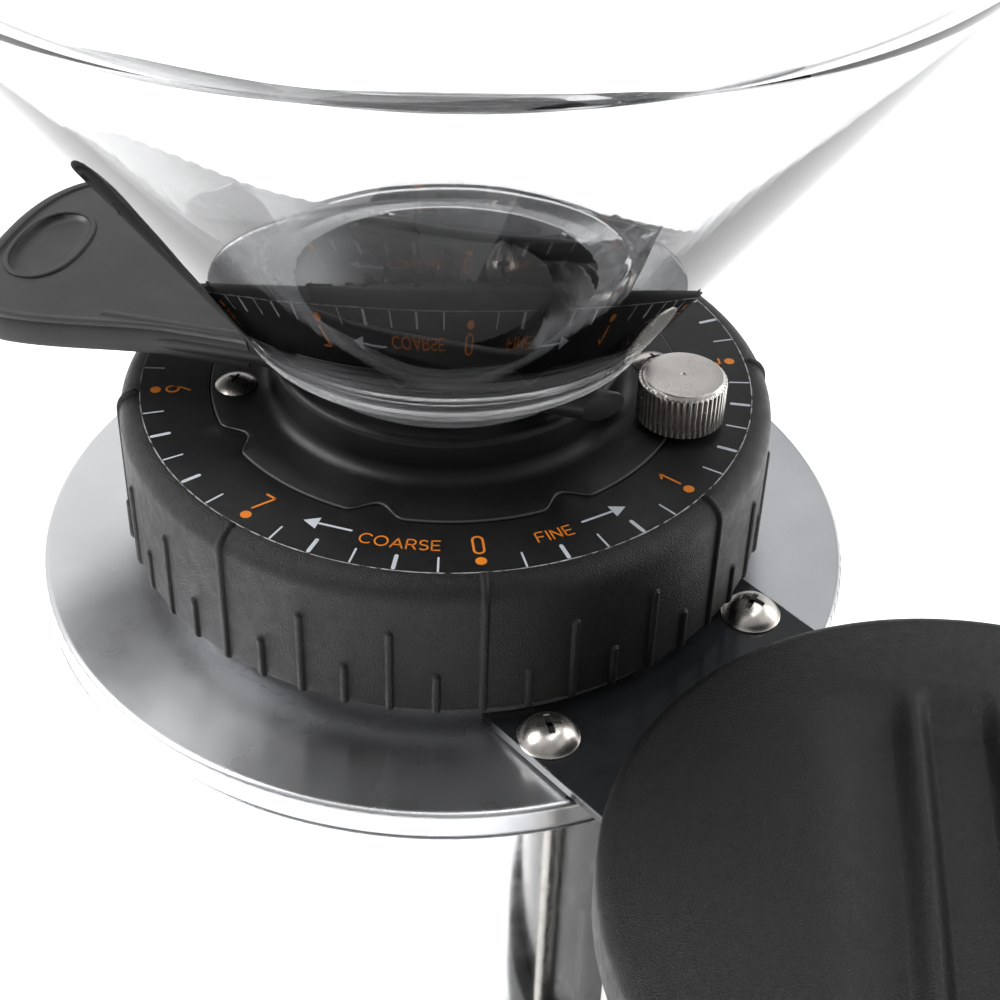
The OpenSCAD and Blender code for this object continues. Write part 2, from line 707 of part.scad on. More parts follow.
plate_proud = 0.3;
module cover_plate() color(casting_colour) at_body(label_z - label_t) {
    top = label_t + plate_proud;
    difference() {
        union() {
            linear_extrude(top) notched_outline();
            rounded_disc(hub_r, label_t + hub_h, 1.5);
            // round fillet at the foot of the hub
            rotate_extrude() translate([hub_r - eps, top - eps]) difference() {
                square(3);
                translate([3, 3]) circle(r = 3);
            }
        }
        translate([0, 0, -1]) cylinder(r = hub_bore / 2, h = hub_h + 10);
        for (a = [0, 180]) rotate([0, 0, a + dial_rest]) translate([cover_screw_r, 0, -1])
            cylinder(r = 2.2, h = 8);
        translate([0, 0, -label_z + label_t]) thumb_position() translate([0, 0, label_z - 5])
            cylinder(r = thumb_shank_r + drop_gap, h = 10);
    }
}

module cover_screws() color(steel) at_body(label_z + plate_proud) for (a = [0, 180])
    rotate([0, 0, a + dial_rest]) translate([cover_screw_r, 0, 0]) rotate([0, 0, 20])
        pan_screw(3.9, 1.7, 2, 12);

thumb_r = 8.2;
thumb_h = 9.4;
thumb_shank_r = 2.5;
thumb_circle = 45.2;
thumb_deg = 66.5;
thumb_flutes = 36;
module thumb_position() rotate([0, 0, dial_rest - 90 + thumb_deg]) translate([thumb_circle, 0, 0])
    children();

module thumb_screw() color(steel) at_body(label_z + plate_proud + free_gap) thumb_position() {
    difference() {
        union() {
            cylinder(r = thumb_r - 0.8, h = thumb_h);
            translate([0, 0, 0.6]) cylinder(r = thumb_r, h = thumb_h - 1.4);
        }
        for (k = [0:thumb_flutes - 1]) rotate([0, 0, 360 / thumb_flutes * k])
            translate([thumb_r + 0.1, 0, -1]) cylinder(r = 0.45, h = thumb_h + 2, $fn = 4);
    }
    translate([0, 0, -label_t - web_t - 3]) cylinder(r = thumb_shank_r, h = label_t + web_t + 3 + eps);
}

// ---------------------------------------------------------------- hopper
gate_h = rod_d + 2 * 0.1;
gate_z = hub_top + 1.4;
lip_z = gate_z + gate_h;
neck_r = rod_offset + rod_d / 2 + 6.6;
spigot_r = hub_bore / 2 - drop_gap;
cone_z = lip_z + 2.2;
cone_h = (hopper_r - lip_r) * tan(cone_deg);
hopper_top = cone_z + cone_h + hopper_rim_h;

// Bowl of the hopper: straight rim, cone and the flat foot round the throat
module hopper() color(clear_plastic) at_body() {
    slant = hopper_wall / sin(cone_deg);
    foot_t = 3;
    rotate_extrude() polygon([
        [throat_d / 2, lip_z], [lip_r - 1, lip_z], [lip_r, lip_z + 0.8], [lip_r, cone_z],
        [hopper_r, cone_z + cone_h], [hopper_r, hopper_top], [hopper_r - hopper_wall, hopper_top],
        [hopper_r - hopper_wall, cone_z + cone_h + 0.8], [lip_r - slant + 0.9, lip_z + foot_t],
        [throat_d / 2, lip_z + foot_t]
    ]);
}

// Gate housing bonded under the bowl: its spigot drops into the hub and its slot guides the shutter
module gate_housing() color(clear_plastic) at_body() difference() {
    rotate_extrude() polygon([
        [spigot_bore / 2, hub_top - 11], [spigot_r, hub_top - 11], [spigot_r, hub_top + 0.1],
        [neck_r, hub_top + 0.1], [neck_r, lip_z], [throat_d / 2, lip_z], [throat_d / 2, gate_z + 1],
        [spigot_bore / 2, gate_z + 0.5]
    ]);
    facing(shutter_deg) translate([-60, -rod_offset - rod_d / 2 - drop_gap, gate_z])
        cube([120, 2 * rod_offset + rod_d + 2 * drop_gap, gate_h + 1]);
}

module hopper_lid() color(black_plastic) at_body(hopper_top + free_gap / 2) {
    skirt = 3;
    top_t = 3;
    translate([0, 0, -skirt]) ring(hopper_lid_r, hopper_lid_r - hopper_lid_wall, skirt + eps);
    rounded_disc(hopper_lid_r, top_t, 1.5);
    rotate_extrude() difference() {
        union() {
            translate([0, top_t - 1]) square([15, 9]);
            translate([0, top_t - 1]) square([12, 12]);
            translate([12, top_t + 8]) circle(r = 3);
        }
        translate([19, top_t + 3.4]) circle(r = 5.5);
        translate([-10, 0]) square([10, 40]);
    }
}

// Blade, two guide rods and a flared paddle, drawn along +X and turned to its direction
rod_back = 34;
blade_t = 3.8;
blade_end = spigot_bore / 2 + 1;
neck_end = neck_r + 1;
flare_start = 43;
paddle_t = rod_d;
thumb_rest_w = 10;
thumb_rest_l = 25;
module paddle_outline() offset(r = 6) offset(delta = -6) intersection() {
    arc_r = 40;
    neck_w = rod_offset + rod_d / 2;
    union() {
        translate([paddle_reach - arc_r, 0]) circle(r = arc_r);
        translate([neck_end, -neck_w]) square([flare_start, 2 * neck_w]);
    }
    polygon([
        [neck_end, -neck_w], [flare_start, -neck_w], [paddle_reach - 14, -paddle_w / 2],
        [paddle_reach, -paddle_w / 2], [paddle_reach, paddle_w / 2],
        [paddle_reach - 14, paddle_w / 2], [flare_start, neck_w], [neck_end, neck_w]
    ]);
}

module shutter_slide() color(black_plastic) at_body(gate_z + 0.1) facing(shutter_deg) {
    // each rod ends in a slanting cut that faces outwards
    for (s = [-1, 1]) translate([-rod_back, s * rod_offset, rod_d / 2]) difference() {
        rotate([0, 90, 0]) cylinder(r = rod_d / 2, h = rod_back + flare_start);
        rotate([0, 0, s * 45]) translate([-2 * rod_d, -2 * rod_d, -rod_d])
            cube([2 * rod_d, 4 * rod_d, 2 * rod_d]);
    }
    translate([0, 0, (rod_d - blade_t) / 2]) {
        cylinder(r = blade_end, h = blade_t);
        translate([0, -rod_offset, 0]) cube([flare_start, 2 * rod_offset, blade_t]);
    }
    difference() {
        linear_extrude(paddle_t) paddle_outline();
        translate([paddle_reach - thumb_rest_w - 3, 0, paddle_t - 1.6]) linear_extrude(4)
            rounded_rect(thumb_rest_w, thumb_rest_l, thumb_rest_w / 2 - eps);
    }
}

// ---------------------------------------------------------------- doser
bridge_z = flange_top + gasket_t;
bridge_top = bridge_z + bridge_t;
doser_z = bridge_z - doser_h;
doser_bore = doser_r - doser_wall;
doser_base_h = 16;
doser_base_floor = 4;
floor_plate_t = 2;
doser_shaft_r = 4;
spout_y = -32;
spout_r = 17;
spout_wall = 2;
spout_drop = 34;
lever_rest = 25;
lever_sweep = 60;
lever_room = 8;
lever_z = doser_z - doser_base_h + 7;
lever_t = 5;

module bridge_outline() difference() {
    union() {
        translate([-bridge_w / 2, -doser_reach]) square([bridge_w, doser_reach]);
        translate([0, -doser_reach]) circle(r = rim_r);
    }
    circle(r = collar_r - collar_wall - 0.1);
    translate([0, -doser_reach]) circle(r = doser_bore + 0.1);
}

module bridge_plate() color(black_plastic) at_body(bridge_z) difference() {
    linear_extrude(bridge_t) bridge_outline();
    translate([0, 0, -1]) at_points(bridge_screw_spots) cylinder(r = 2.3, h = bridge_t + 2);
    translate([0, -doser_reach, -1]) at_points(post_spots) cylinder(r = post_r, h = post_sink + 1);
}

module bridge_gasket() color("darkslategray") at_body(flange_top) linear_extrude(gasket_t) difference() {
    intersection() {
        bridge_outline();
        circle(r = body_r - 1.6);
    }
    at_points(bridge_screw_spots) circle(r = 2.6);
}

module bridge_screws() color(steel) at_body(bridge_top) at_points(bridge_screw_spots) rotate([0, 0, 30]) {
    rim_t = 0.5;
    cylinder(r = 5.7, h = rim_t);
    translate([0, 0, rim_t - eps]) pan_screw(5.5, 3.4, 2, bridge_t + gasket_t + rim_t + 4);
}

post_r = 1.8;
post_circle = doser_r + doser_rim / 2;
post_spots = [for (a = [-90, 50, 130]) [post_circle * cos(a), post_circle * sin(a)]];
// Depth of the posts' ends in the bridge plate and in the doser base
post_sink = bridge_t / 2;
post_root = 6;

module doser_posts() color(steel) at_doser(doser_z - post_root) at_points(post_spots)
    cylinder(r = post_r, h = doser_h + post_root + post_sink);

module doser_base() color(casting_colour) at_doser(doser_z - doser_base_h) difference() {
    cylinder(r = rim_r, h = doser_base_h);
    // saddle round the motor housing
    translate([0, doser_reach, -1]) cylinder(r = body_r + free_gap, h = doser_base_h + 2);
    translate([0, 0, doser_base_floor]) cylinder(r = doser_bore - 3, h = doser_base_h);
    // slot that the lever sweeps through
    translate([0, 0, 6]) rotate([0, 0, lever_rest - lever_sweep - lever_room])
        rotate_extrude(angle = lever_sweep + 2 * lever_room)
            translate([doser_bore - 6, 0]) square([20, lever_t + 2.4]);
    translate([0, spout_y, -1]) cylinder(r = spout_r, h = doser_base_h);
    translate([0, 0, 1]) cylinder(r = doser_shaft_r + run_fit, h = doser_base_h);
    at_points(post_spots) translate([0, 0, doser_base_h - post_root]) cylinder(r = post_r, h = post_root + 1);
}

module doser_floor() color(steel) at_doser(doser_z) difference() {
    cylinder(r = doser_bore - drop_gap, h = floor_plate_t);
    translate([0, 0, -1]) cylinder(r = doser_shaft_r + free_gap, h = 4);
    translate([0, spout_y, -1]) cylinder(r = spout_r - spout_wall, h = 4);
}

module outlet_spout() color(black_plastic) at_doser() translate([0, spout_y, doser_z - spout_drop])
    ring(spout_r, spout_r - spout_wall, spout_drop);

module doser_chamber() color(clear_plastic) at_doser(doser_z) difference() {
    ring(doser_r, doser_bore, doser_h);
    translate([-chute_w / 2 - drop_gap, 0, chute_z - doser_z - drop_gap])
        cube([chute_w + 2 * drop_gap, doser_r + 5, chute_h + 2 * drop_gap]);
}

// Fixed sector over the outlet, so that only one compartment empties at a time
module dose_gate() color(steel) at_doser(doser_z + floor_plate_t + free_gap + vane_h + 1)
    rotate([0, 0, -90 - gate_angle / 2]) rotate_extrude(angle = gate_angle)
        translate([wheel_hub_r + 2, 0]) square([doser_bore - wheel_hub_r - 2, 1.5]);

wheel_hub_r = 9;
gate_angle = 360 / vanes + 6;
module dosing_wheel() color(black_plastic) at_doser(doser_z + floor_plate_t + free_gap) difference() {
    union() {
        cylinder(r = wheel_hub_r, h = vane_h + 10);
        for (k = [0:vanes - 1]) rotate([0, 0, -90 + 360 * (k + 0.5) / vanes])
            translate([wheel_hub_r - 2, -1, 0]) cube([doser_bore - wheel_hub_r + 1, 2, vane_h]);
    }
    translate([0, 0, -1]) cylinder(r = doser_shaft_r, h = vane_h + 20);
}

module doser_shaft() color(steel) at_doser(doser_z - doser_base_h + 1.5)
    cylinder(r = doser_shaft_r, h = doser_base_h + vane_h + 24);

module dose_knob() color(steel) at_doser(doser_z + floor_plate_t + free_gap + vane_h + 10) difference() {
    union() {
        cylinder(r = 12, h = 8);
        cylinder(r = 10, h = 10);
    }
    translate([0, 0, -1]) cylinder(r = doser_shaft_r, h = 20);
    for (a = [0:30:330]) rotate([0, 0, a]) translate([13, 0, -1]) cylinder(r = 1.8, h = 20);
}

lever_hub_r = 13;
module dosing_lever() color(steel) at_doser(lever_z) difference() {
    union() {
        cylinder(r = lever_hub_r, h = lever_t);
        rotate([0, 0, lever_rest]) translate([0, -5, 0]) cube([78, 10, lever_t]);
    }
    translate([0, 0, -1]) cylinder(r = doser_shaft_r + run_fit, h = lever_t + 2);
}

module lever_grip() color(black_plastic) at_doser(lever_z + lever_t / 2) rotate([0, 0, lever_rest])
    translate([66, 0, 0]) rotate([0, 90, 0]) difference() {
        rotate_extrude() difference() {
            union() {
                square([7.4, 24]);
                square([5.4, 26]);
                translate([0, 2]) square([9, 6]);
                translate([5.4, 24]) circle(r = 2);
            }
            translate([-9, -5]) square([9, 40]);
        }
        translate([-lever_t / 2, -5, -1]) cube([lever_t, 10, 13]);
    }

ratchet_teeth = 12;
tooth_deg = 360 / ratchet_teeth;
ratchet_t = 2.4;
ratchet_r = 9;
module ratchet_wheel() color(steel) at_doser(lever_z + lever_t + 0.4) difference() {
    linear_extrude(ratchet_t) polygon([
        for (k = [0:ratchet_teeth - 1]) each [
            [ratchet_r * cos(tooth_deg * k), ratchet_r * sin(tooth_deg * k)],
            [(ratchet_r - 1.6) * cos(tooth_deg * k + 4), (ratchet_r - 1.6) * sin(tooth_deg * k + 4)]
        ]
    ]);
    translate([0, 0, -1]) cylinder(r = doser_shaft_r, h = 6);
}

module ratchet_pawl() color(steel) at_doser(lever_z + lever_t) rotate([0, 0, lever_rest + 180]) {
    translate([lever_hub_r - 1.6, 0, 0]) cylinder(r = 1.2, h = 0.4 + ratchet_t);
    translate([0, 0, 0.4]) linear_extrude(ratchet_t) polygon([
        [lever_hub_r - 3, -1.2], [lever_hub_r, -1.2], [lever_hub_r, 3],
        [ratchet_r + 0.4, 3.6], [ratchet_r + 0.5, 2.2]
    ]);
}

module lever_spring() color(steel) at_doser(doser_z - doser_base_h + doser_base_floor + 0.6)
    coil(9, 0.5, 1.6, 1.5);

lid_grip_deg = 43;
lid_grip_l = 66;
// Round-bottomed channel along X at the sideways place y, with its floor at z
module grip_scoop(y, r, z) translate([-lid_grip_l / 2, y, z + r]) rotate([0, 90, 0])
    cylinder(r = r, h = lid_grip_l);

module doser_lid() color(black_plastic) at_doser(bridge_top + free_gap) {
    lid_edge = 4;
    lid_side = 14;
    dome_h = 4.5;
    wall = 2.6;
    dome_r = ((lid_r - lid_edge) * (lid_r - lid_edge) + dome_h * dome_h) / (2 * dome_h);
    difference() {
        rotate_extrude() {
            rounded_half(lid_r, lid_side, lid_edge);
            intersection() {
                translate([0, lid_side + dome_h - dome_r]) circle(r = dome_r, $fn = 256);
                translate([0, lid_side - 1]) square([lid_r - lid_edge, dome_h + 2]);
            }
        }
        translate([0, 0, -1]) cylinder(r = lid_r - wall, h = lid_side - wall + 1);
        // finger trough across the top, and a shallow scoop on each side of it
        rotate([0, 0, lid_grip_deg]) {
            grip_scoop(0, 9, lid_side + dome_h - 3);
            for (s = [-1, 1]) grip_scoop(s * 17, 14, lid_side + dome_h - 1.6);
        }
    }
    translate([0, 0, -8]) ring(doser_bore - 1, doser_bore - 3, 8 + lid_side - wall + eps);
}

// ---------------------------------------------------------------- portafilter fork
fork_z = base_top + 78;
fork_w = 66;
fork_plate_h = 26;
fork_screw_x = 18;
fork_reach = 178;
prong_w = 9;
prong_t = 7;

module portafilter_fork() color(steel) at_body() difference() {
    union() {
        translate([-fork_w / 2, -body_r - 9, fork_z]) cube([fork_w, 15, fork_plate_h]);
        for (s = [-1, 1]) {
            translate([s * (fork_w / 2 - prong_w / 2) - prong_w / 2, -fork_reach, fork_z])
                cube([prong_w, fork_reach - body_r - 5, prong_t]);
            translate([s * (fork_w / 2 - prong_w / 2) - prong_w / 2, -fork_reach, fork_z])
                cube([prong_w, 8, prong_t + 6]);
        }
    }
    cylinder(r = body_r, h = label_z);
    for (s = [-1, 1]) translate([s * fork_screw_x, 0, fork_z + fork_plate_h / 2]) rotate([90, 0, 0])
        cylinder(r = 2.2, h = body_r + 20);
}

module fork_screws() color(steel) at_body(fork_z + fork_plate_h / 2) for (s = [-1, 1])
    translate([s * fork_screw_x, -body_r - 9, 0]) rotate([90, 0, 0]) pan_screw(4.6, 2.8, 2, 16);

feet();
base_casting();
bottom_cover();
bottom_screws();
housing_tube();
top_flange();
burr_chamber();
tie_rods();
motor_bracket();
bearings();
stator_core();
stator_windings();
run_capacitor();
terminal_block();
cable_gland();
switch_bezel();
outlet_chute();
bridge_gasket();
bridge_plate();
bridge_screws();
doser_base();
doser_floor();
doser_chamber();
doser_posts();
dose_gate();
outlet_spout();
lever_spring();
portafilter_fork();
fork_screws();
preload_spring();
motor_shaft();
rotor_core();
cooling_fan();
lower_burr_carrier();
lower_burr();
lower_burr_screws();
shaft_nut();
thrust_washer();
collar_ring();
label_ring();
cover_plate();
cover_screws();
upper_burr_carrier();
upper_burr();
upper_burr_screws();
thumb_screw();
hopper();
gate_housing();
hopper_lid();
shutter_slide();
dosing_wheel();
doser_shaft();
ratchet_wheel();
dose_knob();
dosing_lever();
lever_grip();
ratchet_pawl();
doser_lid();
grounds_tray();
switch_rocker();
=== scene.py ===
"""Visual model of a doser coffee grinder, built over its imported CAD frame.

Lengths are in millimetres until closed_mesh() turns them into metres. Places come from the
frame's boxes; angles on the dial are counted from its zero mark.
"""
import bpy
import bmesh
import json
import math
import random
from math import cos, sin, pi, radians, hypot
from mathutils import Matrix, Vector


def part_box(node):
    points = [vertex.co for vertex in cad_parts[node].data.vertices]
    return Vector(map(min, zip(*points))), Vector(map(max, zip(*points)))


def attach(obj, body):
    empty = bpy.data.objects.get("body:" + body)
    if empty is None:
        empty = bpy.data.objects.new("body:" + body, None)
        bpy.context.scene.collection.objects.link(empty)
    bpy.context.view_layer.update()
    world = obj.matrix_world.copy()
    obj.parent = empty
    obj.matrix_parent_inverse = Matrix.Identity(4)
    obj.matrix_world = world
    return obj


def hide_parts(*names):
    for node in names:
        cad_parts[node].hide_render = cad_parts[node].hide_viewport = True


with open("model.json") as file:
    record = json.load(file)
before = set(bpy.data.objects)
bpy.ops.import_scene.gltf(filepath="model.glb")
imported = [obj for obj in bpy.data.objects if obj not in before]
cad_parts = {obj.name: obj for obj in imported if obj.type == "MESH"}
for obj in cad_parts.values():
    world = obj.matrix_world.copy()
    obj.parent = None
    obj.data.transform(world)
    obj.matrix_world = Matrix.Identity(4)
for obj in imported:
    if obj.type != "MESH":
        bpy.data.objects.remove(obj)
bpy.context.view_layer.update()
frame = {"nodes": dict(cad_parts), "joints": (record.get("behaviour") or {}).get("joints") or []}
random.seed(7)
MM = 0.001
WELD = 2e-7

# ------------------------------------------------------------------ places, most from the frame's boxes


def box_mm(node):
    lo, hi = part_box(node)
    return [v / MM for v in lo], [v / MM for v in hi]


def middle(node):
    lo, hi = box_mm(node)
    return (lo[0] + hi[0]) / 2, (lo[1] + hi[1]) / 2


AX, AY = middle("housing_tube")
DX, DY = middle("doser_lid")
COLLAR_LO, COLLAR_HI = box_mm("collar_ring")
LABEL_LO, LABEL_HI = box_mm("label_ring")
PLATE_LO, PLATE_HI = box_mm("cover_plate")
LABEL_Z = COLLAR_HI[2]
COLLAR_BOTTOM = COLLAR_LO[2]
RIB_PROUD = 0.65
COLLAR_R = (COLLAR_HI[0] - COLLAR_LO[0]) / 2 - RIB_PROUD
LABEL_R = (LABEL_HI[0] - LABEL_LO[0]) / 2 + 0.1
HUB_TOP = PLATE_HI[2]
HUB_R = 33.5
HUB_BORE = 27.3
PLATE_TOP = PLATE_LO[2] + 1.8
FOOT_Z = box_mm("hopper")[0][2]
DIAL_ZERO = -33.0
JOINT = {j["name"]: j for j in frame["joints"]}


# ------------------------------------------------------------------ mesh tools


def smoothstep(t):
    t = min(max(t, 0.0), 1.0)
    return t * t * (3 - 2 * t)


def facing(deg):
    """Unit vector at an angle measured from the front (-Y) towards +X."""
    return sin(radians(deg)), -cos(radians(deg))


def dial_point(deg, r):
    """Point on the dial, its angle counted from the zero mark."""
    ux, uy = facing(deg + DIAL_ZERO)
    return AX + r * ux, AY + r * uy


def closed_mesh(name, shells):
    """Mesh from closed shells [(points in mm, faces)], welded, with its normals outwards."""
    bm = bmesh.new()
    for points, faces in shells:
        new = [bm.verts.new((p[0] * MM, p[1] * MM, p[2] * MM)) for p in points]
        for f in faces:
            ids = list(dict.fromkeys(f))
            if len(ids) > 2:
                try:
                    bm.faces.new([new[i] for i in ids])
                except ValueError:  # a row on the axis gives the same face again
                    pass
    bmesh.ops.remove_doubles(bm, verts=bm.verts, dist=WELD)
    bmesh.ops.dissolve_degenerate(bm, dist=WELD / 2, edges=bm.edges)
    loose = [v for v in bm.verts if not v.link_faces]
    bmesh.ops.delete(bm, geom=loose, context="VERTS")
    bmesh.ops.recalc_face_normals(bm, faces=bm.faces)
    me = bpy.data.meshes.new(name)
    bm.to_mesh(me)
    bm.free()
    return me


def dress(name, me, material, body, stands_for=(), sharp=34):
    """One object from a mesh, with its material, riding on a body."""
    me.polygons.foreach_set("use_smooth", [True] * len(me.polygons))
    me.set_sharp_from_angle(angle=radians(sharp))
    me.materials.clear()
    me.materials.append(material)
    ob = bpy.data.objects.new(name, me)
    bpy.context.scene.collection.objects.link(ob)
    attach(ob, body)
    if stands_for:
        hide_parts(*stands_for)


def put(name, shells, material, body, stands_for=(), sharp=34):
    """One object straight from closed shells."""
    dress(name, closed_mesh(name, shells), material, body, stands_for, sharp)


def polar(rows, angles, cx=0.0, cy=0.0):
    """Closed solid of revolution whose rows (r, z) may also be functions of the angle."""
    m, n = len(rows), len(angles)
    points, faces = [], []
    for a in angles:
        for row in rows:
            r, z = row(a) if callable(row) else row
            points.append((cx + r * sin(a), cy - r * cos(a), z))
    for i in range(n):
        k = (i + 1) % n
        for j in range(m):
            q = (j + 1) % m
            faces.append((i * m + j, k * m + j, k * m + q, i * m + q))
    return points, faces


def turn(n):
    """n angles once round."""
    return [2 * pi * i / n for i in range(n)]


def quarter(n):
    """n + 1 angles over a right angle."""
    return [pi / 2 * k / n for k in range(n + 1)]


def rounded(corners, closed=True):
    """Polyline (x, y, fillet radius) with its corners rounded."""
    out = []
    n = len(corners)
    for i, (x, y, r) in enumerate(corners):
        if r <= 0 or (not closed and i in (0, n - 1)):
            out.append((x, y))
            continue
        p = Vector((x, y))
        a = Vector(corners[i - 1][:2]) - p
        b = Vector(corners[(i + 1) % n][:2]) - p
        la, lb = a.length, b.length
        a.normalize()
        b.normalize()
        half = math.acos(min(max(a.dot(b), -1), 1)) / 2
        if half > pi / 2 - 0.02:
            out.append((x, y))
            continue
        cut = min(r / math.tan(half), la * 0.49, lb * 0.49)
        r = cut * math.tan(half)
        centre = p + (a + b).normalized() * (r / sin(half))
        s, e = p + a * cut - centre, p + b * cut - centre
        sweep = s.angle_signed(e)
        steps = max(3, int(abs(sweep) / 0.22))
        for k in range(steps + 1):
            t = -sweep * k / steps
            out.append((centre.x + s.x * cos(t) - s.y * sin(t),
                        centre.y + s.x * sin(t) + s.y * cos(t)))
    return out


def loft(rings):
    """Closed solid through rings of equal length, flat at both ends."""
    m = len(rings[0])
    points = [p for ring in rings for p in ring]
    faces = []
    for i in range(len(rings) - 1):
        for j in range(m):
            q = (j + 1) % m
            faces.append((i * m + j, i * m + q, (i + 1) * m + q, (i + 1) * m + j))
    faces.append(tuple(reversed(range(m))))
    faces.append(tuple((len(rings) - 1) * m + j for j in range(m)))
    return points, faces


def inset(outline, d):
    """A smooth closed outline moved inwards (counter-clockwise outline)."""
    n = len(outline)
    out = []
    for i in range(n):
        a, b = outline[i - 1], outline[(i + 1) % n]
        tx, ty = b[0] - a[0], b[1] - a[1]
        s = hypot(tx, ty) or 1
        out.append((outline[i][0] - ty / s * d, outline[i][1] + tx / s * d))
    return out


def ribbon(path, width, z0, z1, closed=False, place=lambda x, y: (x, y)):
    """Printed stroke: a flat band with round ends along a path."""
    n = len(path)
    half = width / 2
    tangents = []
    for i in range(n):
        a = path[i - 1] if (i > 0 or closed) else path[i]
        b = path[(i + 1) % n] if (i < n - 1 or closed) else path[i]
        tx, ty = b[0] - a[0], b[1] - a[1]
        s = hypot(tx, ty) or 1
        tangents.append((tx / s, ty / s))
    left = [(p[0] - t[1] * half, p[1] + t[0] * half) for p, t in zip(path, tangents)]
    right = [(p[0] + t[1] * half, p[1] - t[0] * half) for p, t in zip(path, tangents)]
    if closed:
        points, faces = [], []
        for z in (z0, z1):
            for ring in (left, right):
                points += [(*place(x, y), z) for x, y in ring]
        for i in range(n):
            k = (i + 1) % n
            faces += [(i, k, n + k, n + i), (2 * n + i, 3 * n + i, 3 * n + k, 2 * n + k),
                      (i, 2 * n + i, 2 * n + k, k), (n + i, n + k, 3 * n + k, 3 * n + i)]
        return points, faces

    def cap(p, t, sign):
        base = math.atan2(t[1], t[0]) + (pi / 2 if sign < 0 else -pi / 2)
        return [(p[0] + half * cos(base + pi * k / 6), p[1] + half * sin(base + pi * k / 6))
                for k in range(1, 6)]

    ring = right + cap(path[-1], tangents[-1], 1) + left[::-1] + cap(path[0], tangents[0], -1)
    return loft([[(*place(x, y), z) for x, y in ring] for z in (z0, z1)])


def boolean(name, main, cutters):
    """Mesh of the main shells with each cutter's shells taken out."""
    def temp(label, shells):
        ob = bpy.data.objects.new(label, closed_mesh(label, shells))
        bpy.context.scene.collection.objects.link(ob)
        return ob
    a = temp("work_a", main)
    for shells in cutters:
        b = temp("work_b", shells)
        cut = a.modifiers.new("cut", "BOOLEAN")
        cut.operation = "DIFFERENCE"
        cut.solver = "EXACT"
        cut.object = b
        graph = bpy.context.evaluated_depsgraph_get()
        me = bpy.data.meshes.new_from_object(a.evaluated_get(graph))
        a.modifiers.clear()
        a.data = me
        bpy.data.objects.remove(b)
    me = a.data
    bpy.data.objects.remove(a)
    me.name = name
    return me


# ------------------------------------------------------------------ materials


class Paint:
    """A node material built a step at a time."""

    def __init__(self, name, colour, rough, metallic=0.0, **sockets):
        self.mat = bpy.data.materials.new(name)
        self.mat.use_nodes = True
        self.nt = self.mat.node_tree
        self.bsdf = self.nt.nodes["Principled BSDF"]
        self.bsdf.inputs["Base Color"].default_value = (*colour, 1)
        self.bsdf.inputs["Roughness"].default_value = rough
        self.bsdf.inputs["Metallic"].default_value = metallic
        self.colour, self.rough = colour, rough
        for key, value in sockets.items():
            self.bsdf.inputs[key.replace("_", " ")].default_value = value
        self.coords = self.node("ShaderNodeTexCoord").outputs["Object"]
        self.height = None

    def node(self, kind, **settings):
        n = self.nt.nodes.new(kind)
        for k, v in settings.items():
            setattr(n, k, v)
        return n

    def link(self, a, b):
        self.nt.links.new(a, b)

    def noise(self, scale, detail=3.0, rough=0.55, stretch=None, coords=None):
        src = coords or self.coords
        if stretch:
            mp = self.node("ShaderNodeMapping")
            mp.inputs["Scale"].default_value = stretch
            self.link(src, mp.inputs["Vector"])
            src = mp.outputs["Vector"]
        n = self.node("ShaderNodeTexNoise")
        n.inputs["Scale"].default_value = scale
        n.inputs["Detail"].default_value = detail
        n.inputs["Roughness"].default_value = rough
        self.link(src, n.inputs["Vector"])
        return n.outputs["Fac"]

    def radius(self, cx, cy):
        """Distance from a vertical axis, in metres."""
        sub = self.node("ShaderNodeVectorMath", operation="SUBTRACT")
        sub.inputs[1].default_value = (cx * MM, cy * MM, 0)
        self.link(self.coords, sub.inputs[0])
        flat = self.node("ShaderNodeVectorMath", operation="MULTIPLY")
        flat.inputs[1].default_value = (1, 1, 0)
        self.link(sub.outputs[0], flat.inputs[0])
        length = self.node("ShaderNodeVectorMath", operation="LENGTH")
        self.link(flat.outputs[0], length.inputs[0])
        return length.outputs["Value"]

    def rings(self, value, scale):
        n = self.node("ShaderNodeTexNoise", noise_dimensions="1D")
        n.inputs["Scale"].default_value = scale
        n.inputs["Detail"].default_value = 4
        self.link(value, n.inputs["W"])
        return n.outputs["Fac"]

    def remap(self, value, a, b, lo, hi):
        n = self.node("ShaderNodeMapRange")
        n.inputs["From Min"].default_value = a
        n.inputs["From Max"].default_value = b
        n.inputs["To Min"].default_value = lo
        n.inputs["To Max"].default_value = hi
        self.link(value, n.inputs["Value"])
        return n.outputs["Result"]

    def vary_rough(self, value, spread):
        rough = self.remap(value, 0.3, 0.7, self.rough - spread, self.rough + spread)
        self.link(rough, self.bsdf.inputs["Roughness"])

    def vary_colour(self, value, other, a=0.35, b=0.65):
        mix = self.node("ShaderNodeMix", data_type="RGBA")
        mix.inputs["A"].default_value = (*self.colour, 1)
        mix.inputs["B"].default_value = (*other, 1)
        self.link(self.remap(value, a, b, 0, 1), mix.inputs["Factor"])
        self.link(mix.outputs["Result"], self.bsdf.inputs["Base Color"])

    def bump(self, value, strength, distance):
        n = self.node("ShaderNodeBump")
        n.inputs["Strength"].default_value = strength
        n.inputs["Distance"].default_value = distance
        self.link(value, n.inputs["Height"])
        if self.height:
            self.link(self.height, n.inputs["Normal"])
        self.height = n.outputs["Normal"]
        self.link(self.height, self.bsdf.inputs["Normal"])

    def tangent(self):
        t = self.node("ShaderNodeTangent", direction_type="RADIAL", axis="Z")
        self.link(t.outputs["Tangent"], self.bsdf.inputs["Tangent"])


